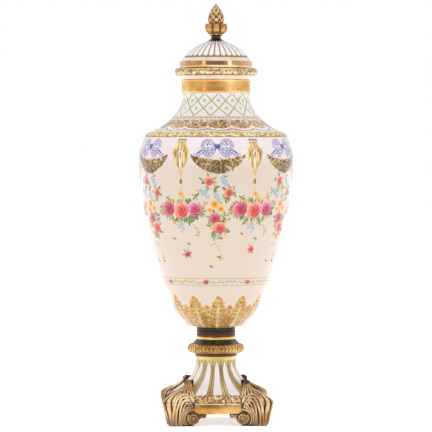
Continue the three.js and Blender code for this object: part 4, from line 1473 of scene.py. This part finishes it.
def carve_garland(radius, level, share, angles):
    """Laurel leaves in three rows, tied with crossed ribbons in the middle of each side."""
    turn = from_quarter(angles)
    off = share - 0.5
    leaves = np.abs(turn) / (math.pi / 4) * GARLAND_LEAVES
    sway = np.mod(leaves + 1.5 * abs(share - 0.52), 1)
    twin = np.mod(leaves + 0.5 + 1.5 * abs(share - (0.3 if off < 0 else 0.72)), 1)
    leaf = np.maximum(np.where(abs(off) < 0.23, sway, 0), np.where(abs(off) >= 0.2, twin, 0))
    along = turn * 66
    cross = np.minimum(np.abs(along - off * 22), np.abs(along + off * 22))
    tie = np.clip(1.6 - cross, 0, 1) * (np.abs(along) < 13)
    height = np.maximum(1.5 * leaf ** 0.5, 2.0 * tie)
    # Painted shade between the laurel leaves and the ribbons.
    return radius + height - 2.0, np.clip(0.9 - 1.3 * np.maximum(leaf, tie), 0, 1), 0


def foot_core():
    """Plinth, fluted flare, laurel ring and mouldings, hollow underneath."""
    return Turned(foot_zones(), FOOT_COLUMNS).carved({
        "clay": carve_hollow, "rail": carve_rail, "lip": carve_rail, "frieze": carve_frieze,
        "flutes": carve_flutes, "laurel": carve_garland,
    })


def leaf_form(rise):
    """Swell at the corner, swell on the faces and width of a corner leaf at shares of its height."""
    knots = np.array(LEAF_ROWS).T
    return [np.interp(rise, knots[0], values) for values in knots[1:]]


def leaf_reach(swell, face_swell, width):
    """Distances from the axis of a leaf's corner, its faces and its inner edge."""
    corner = RAIL_REACH + LEAF_BULGE * swell
    face = RAIL_REACH + LEAF_BULGE * face_swell
    return corner, face, min(corner, face) - (LEG_WIDTH + 4) * width


def corner_leaf():
    """Acanthus leaf that wraps a corner from the ground to its curled tip, in strands."""
    rises = np.linspace(0, 1, LEAF_LEVELS)
    blur = np.array([1, 2, 3, 2, 1]) / 9
    form = [np.convolve(np.pad(values, 2, mode="edge"), blur, "valid") for values in leaf_form(rises)]
    along = np.linspace(0, 1, LEAF_COLUMNS)
    rows, hollows = [], []
    for rise, swell, face_swell, width in zip(rises, *form):
        corner, face, inner = leaf_reach(swell, face_swell, width)
        strand = along * LEAF_STRANDS - 0.5 + 0.3 * math.sin(3 * rise)
        ridge = np.abs(np.cos(math.pi * strand)) ** 0.6
        fine = np.abs(np.cos(math.pi * strand * 3)) ** 0.8
        relief = 2.4 * LEAF_RIB * (ridge - 0.75) + 0.9 * fine - 0.8
        low_face = np.clip((0.62 - along) / 0.25, 0, 1) * min(1, max(0, (0.6 - rise) / 0.1))
        relief = relief * min(1, 0.4 + 6 * rise) * (1 - 0.75 * low_face)
        soften = 0.05 * LEG_WIDTH * along ** 6
        out = face + (corner - face) * along + relief * (1 - 0.5 * along ** 4) - soften
        side = inner + (corner - inner) * along - soften + 0.5 * relief * along ** 4
        level = np.full(LEAF_COLUMNS, leaf_height * rise)
        one = np.column_stack([out, side, level])
        other = np.column_stack([side, out, level])[::-1]
        one[-1, :2] = other[0, :2] = (out[-1] + side[-1]) / 2
        rows.append(np.vstack([[(inner, inner, leaf_height * rise)], one, other[1:]]))
        shade = np.clip(1.25 - 1.3 * ridge + 0.55 * (1 - fine), 0, 1)
        shade = shade * (1 - low_face) + 0.8 * low_face
        shade = np.maximum(shade, 0.9 * min(1, max(0, (rise - 0.64) / 0.08)) * (1 - along ** 3))
        hollows.append(np.concatenate([[1], shade, shade[::-1][1:]]))
    return closed_grid(rows, [hollows[0], *hollows, hollows[-1]])


def strand(path, radii, normal, sides=10):
    """Tapered strand along a flat path, closed at both ends."""
    path = np.array(path, float)
    radii = np.array(radii, float)[:, None, None]
    run = np.gradient(path, axis=0)
    run /= np.linalg.norm(run, axis=1)[:, None]
    normal = np.array(normal, float)
    side = np.cross(run, normal)
    side /= np.linalg.norm(side, axis=1)[:, None]
    angle = np.linspace(0, FULL_TURN, sides, endpoint=False)
    rings = path[:, None] + radii * (np.cos(angle)[:, None] * side[:, None] + np.sin(angle)[:, None] * normal)
    # Painted shade round the strand: darker on its sides and back, lightest where it faces along its normal.
    return closed_grid(rings, 0.75 - 0.75 * np.sin(angle) ** 2 * (np.sin(angle) > 0))


def scroll(centre, start_angle, turns, radius, tube, hand=1, shrink=0.78, steps=44):
    """Spiral in the plane of a side, from its outer end to its eye."""
    share = np.linspace(0, 1, steps)
    angle = start_angle - hand * share * turns * FULL_TURN
    reach = radius * (1 - shrink * share)
    path = np.column_stack([centre[0] + reach * np.cos(angle), np.full(steps, centre[1]),
                            centre[2] + reach * np.sin(angle)])
    path[:, 1] -= 1.6 * share
    return path, tube * (1 - 0.45 * share)


def leaf_face(x, level):
    """Distance of a corner leaf's face from the axis, at a place across the side and a level."""
    corner, face, inner = leaf_reach(*leaf_form(level / leaf_height))
    along = min(1, max(0, (x - inner) / (corner - inner)))
    return face + (corner - face) * along


def laid_strand(knots, thick, thin, lift=0.6, steps=10):
    """Strand laid on the leaf's face along (across, level) knots, thickest in its first half."""
    line = smooth(knots, steps)
    outs = [-(leaf_face(x, level) + lift) for x, level in line]
    path = np.column_stack([line[:, 0], outs, line[:, 1]])
    share = np.linspace(0, 1, len(path))
    radii = thin + (thick - thin) * np.sin(math.pi * (0.12 + 0.83 * share)) ** 0.7
    return strand(path, radii, (0, -1, 0))


def side_carving():
    """Volute, bracket and curled leaf ends at the right end of the front side."""
    front = (0, -1, 0)
    out = -(RAIL_REACH + 3.4)
    centre = (leg_edge - 1, out, VOLUTE_RADIUS + 1.7)
    grids = []

    def boss(x, z, depth, radius, proud, dark):
        line = [(x, depth, z), (x, proud + 0.8, z), (x, proud, z)]
        plate = strand(line, (radius, radius, radius - 1), (0, 0, 1), 24)
        # Painted shade: the plate behind a scroll takes the darkness asked for.
        plate.hollow_shade[:] = dark
        grids.append(plate)

    boss(centre[0], centre[2], -RAIL_REACH + 4, VOLUTE_RADIUS - 1.6, out + 0.6, 1)
    path, radii = scroll(centre, math.radians(40), 2.0, VOLUTE_RADIUS - 3.0, 2.7)
    grids.append(strand(path, radii, front))
    boss(centre[0], centre[2], out + 2, 3.2, out - 3.6, 0)
    for reach, start, end, thick in ((17.2, 100, -48, 2.1), (21.0, 92, -36, 2.0), (24.8, 84, -28, 1.9)):
        turns = np.radians(np.linspace(start, end, 9))
        knots = [(centre[0] + reach * math.cos(turn), centre[2] + reach * math.sin(turn)) for turn in turns]
        grids.append(laid_strand(knots, thick, 0.9, 0.4, 5))
    curl = (leg_edge + 4, rail_top - 3.0)
    boss(curl[0], curl[1], -RAIL_REACH + 4, 6.6, -(RAIL_REACH + 6.8), 0.9)
    path, radii = scroll((curl[0], -(RAIL_REACH + 7.0), curl[1]), math.radians(120), 1.5, 5.4, 1.6)
    grids.append(strand(path, radii, front))
    for knots, thick in (
        ([(curl[0], 48), (61, 52.5), (69, 48), (74, 36), (76, 20), (77, 3)], 2.3),
        ([(curl[0] + 2, 52), (64, 57.5), (74, 52), (80, 38), (82.5, 20), (83, 3)], 2.5),
        ([(curl[0] + 1, 56.5), (65, 62.5), (77, 57.5), (85.5, 42), (88.5, 22), (89, 3)], 2.6),
        ([(55, 44), (61, 46), (66, 41), (70, 31)], 1.8),
    ):
        grids.append(laid_strand(knots, thick, 1.0))
    for knots, thick in (
        ([(47, 57), (49.5, 65), (51, 74), (52.5, 82)], 2.3),
        ([(53, 60), (54, 68), (54, 77), (54.5, 85)], 2.4),
        ([(60, 61), (58.5, 70), (57, 79), (56.5, 86)], 2.4),
        ([(68, 60), (65, 69), (60.5, 77), (58, 84)], 2.5),
        ([(77, 58), (73, 66), (67, 74), (61, 81)], 2.3),
    ):
        grids.append(laid_strand(knots, thick, 1.0, 0.1))
    for knots, thick in (
        ([(leg_edge + 1, 1.8), (47.5, 7), (41, 12.8), (33, 17), (25.5, 19)], 2.1),
        ([(49, 9), (44, 14.5), (37, 18.5), (28, 21.2)], 1.9),
        ([(48, 16), (42, 19.5), (35, 21.6)], 1.6),
    ):
        line = smooth(knots, 8)
        path = np.column_stack([line[:, 0], np.full(len(line), -(RAIL_REACH + 0.9)), line[:, 1]])
        grids.append(strand(path, np.linspace(thick, 0.5 * thick, len(path)), front))
    eye = (bracket_tip + 4.4, -(RAIL_REACH + 1.0), bracket_level)
    boss(eye[0], eye[2], -RAIL_REACH + 4, 3.6, -(RAIL_REACH + 0.8), 1)
    path, radii = scroll(eye, math.radians(-60), 1.1, 3.0, 1.1, -1, 0.6, 20)
    grids.append(strand(path, radii, front))
    return grids


def bracket_plate():
    """Flat bracket behind the carving, under the end of the rail, darkened with painted shade."""
    line = bezier((leg_edge, 0.3), (leg_edge - 2, 0.62 * LEG_HEIGHT),
                  (bracket_tip + 8, 0.75 * LEG_HEIGHT), 16)
    bottom = [(leg_edge + VOLUTE_RADIUS, 0.3), *line, (bracket_tip + 2, 0.72 * LEG_HEIGHT),
              (bracket_tip, bracket_level)]
    back, front, high = -(RAIL_REACH - FOOT_WALL), -RAIL_REACH, rail_bottom + 1
    loops = [
        [(x, back, low), (x, front, low), (x, front - 0.4, low + 0.5), (x, front - 0.4, high),
         (x, back, high)] for x, low in bottom
    ]
    return closed_grid(loops, 0.9)


def leaf_tip():
    """Midrib of a corner leaf, up the ridge of its corner, and its rolled tip across the diagonal."""
    middle = np.array([57.0, -57.0, leaf_height - 5])
    across = np.array([1.0, 1.0, 0]) / math.sqrt(2)
    away = np.array([1.0, -1.0, 0]) / math.sqrt(2)
    grids = []
    for offset in (-6.4, -3.2, 0.0, 3.2, 6.4):
        size = 1 - 0.04 * abs(offset)
        share = np.linspace(0, 1, 30)
        angle = math.radians(-70) + share * math.radians(330)
        reach = 6.2 * size * (1 - 0.55 * share)
        path = (middle + np.outer(offset * (1 - 0.25 * share), across) + np.outer(reach * np.cos(angle), away)
                + np.outer(reach * np.sin(angle), (0, 0, 1)))
        grids.append(strand(path, 2.4 * size * (1 - 0.45 * share), across))
    rises = np.linspace(0.03, 0.93, 28)
    reach = RAIL_REACH + LEAF_BULGE * leaf_form(rises)[0] - 3.0
    path = np.column_stack([reach, -reach, rises * leaf_height])
    grids.append(strand(path, np.interp(rises, (0, 0.5, 1), (2.2, 2.9, 1.8)), away))
    return grids


def make_foot():
    leaf = corner_leaf()
    carving = [*side_carving(), bracket_plate()]
    tip = leaf_tip()
    leaves, scrolls = [], []
    for quarter in range(4):
        leaves.append(leaf.quarter_turned(quarter))
        leaves.extend(grid.quarter_turned(quarter) for grid in tip)
        for mirrored in (False, True):
            scrolls.extend(grid.quarter_turned(quarter, mirrored) for grid in carving)
    box = (FOOT_LOW, FOOT_HIGH)
    for name, grids in (("foot_core", [foot_core()]), ("corner_leaves", leaves), ("side_scrolls", scrolls)):
        dress(make_object(name, grids, box), "foot")


make_foot()
make_body()
make_lid()


# Stage

CAMERA_DISTANCE = 5.4
CAMERA_HEIGHT = 0.570
AIM_HEIGHT = 0.4116
CAMERA_TURN = math.radians(-2.5)
FOCAL_LENGTH = 225.0
SENSOR_WIDTH = 36.0
FLOOR_HALF = 14.0
WHITE = (255, 255, 255)

# Brightness of the white room
BACKDROP = 1.0
FLOOR_GLOW = 0.55
SKY_FRONT = 0.14
SKY_SIDE = 0.56
SKY_BACK = 0.75
SKY_TOP = 1.2

# Soft boxes to the left and right, in metres and watts
BOX_SIDE = 2.4
BOX_FRONT = 2.7
BOX_HEIGHT = 1.5
BOX_SIZE = (0.7, 1.9)
BOX_AIM = Vector((0, 0, 0.5))
LEFT_POWER = 5.4
RIGHT_POWER = 6.4


def make_camera():
    data = bpy.data.cameras.new("camera")
    data.lens = FOCAL_LENGTH
    data.sensor_width = SENSOR_WIDTH
    location = (CAMERA_DISTANCE * math.sin(CAMERA_TURN), -CAMERA_DISTANCE * math.cos(CAMERA_TURN),
                CAMERA_HEIGHT)
    bpy.context.scene.camera = place_object("camera", data, location, Vector((0, 0, AIM_HEIGHT)))


def make_floor():
    mesh = bpy.data.meshes.new("floor")
    corners = [(x * FLOOR_HALF, y * FLOOR_HALF, 0) for x, y in ((-1, -1), (1, -1), (1, 1), (-1, 1))]
    mesh.from_pydata(corners, [], [(0, 1, 2, 3)])
    material, g = new_material("Pale floor")
    tone = g.mix(g.noise(3.0), (250, 249, 248), (246, 245, 244))
    g.shade(tone, 0.6, Emission_Color=WHITE, Emission_Strength=FLOOR_GLOW)
    mesh.materials.append(material)
    place_object("floor", mesh)


def make_light(name, side, power):
    data = bpy.data.lights.new(name, "AREA")
    data.shape = "RECTANGLE"
    data.size, data.size_y = BOX_SIZE
    data.energy = power
    place_object(name, data, (side * BOX_SIDE, -BOX_FRONT, BOX_HEIGHT), BOX_AIM)


def make_world():
    world = bpy.data.worlds.new("studio")
    bpy.context.scene.world = world
    world.use_nodes = True
    g = Graph(world.node_tree)
    x, y, z = g.parts(g.value(g.node("ShaderNodeTexCoord"), "Generated"))
    side = g.step(abs(x), 0.2, 0.9, SKY_FRONT, SKY_SIDE)
    room = g.blend(g.step(y, -0.6, 0.5), side, SKY_BACK)
    room = g.blend(g.step(z, 0.1, 0.8), room, SKY_TOP)
    seen = g.value(g.node("ShaderNodeLightPath"), "Is Camera Ray")
    background = world.node_tree.nodes["Background"]
    g.put(background.inputs["Strength"], g.blend(seen, room, BACKDROP))
    g.put(background.inputs["Color"], WHITE)


make_camera()
make_floor()
make_world()
make_light("left_box", -1, LEFT_POWER)
make_light("right_box", 1, RIGHT_POWER)
bpy.context.scene.view_settings.view_transform = "Standard"
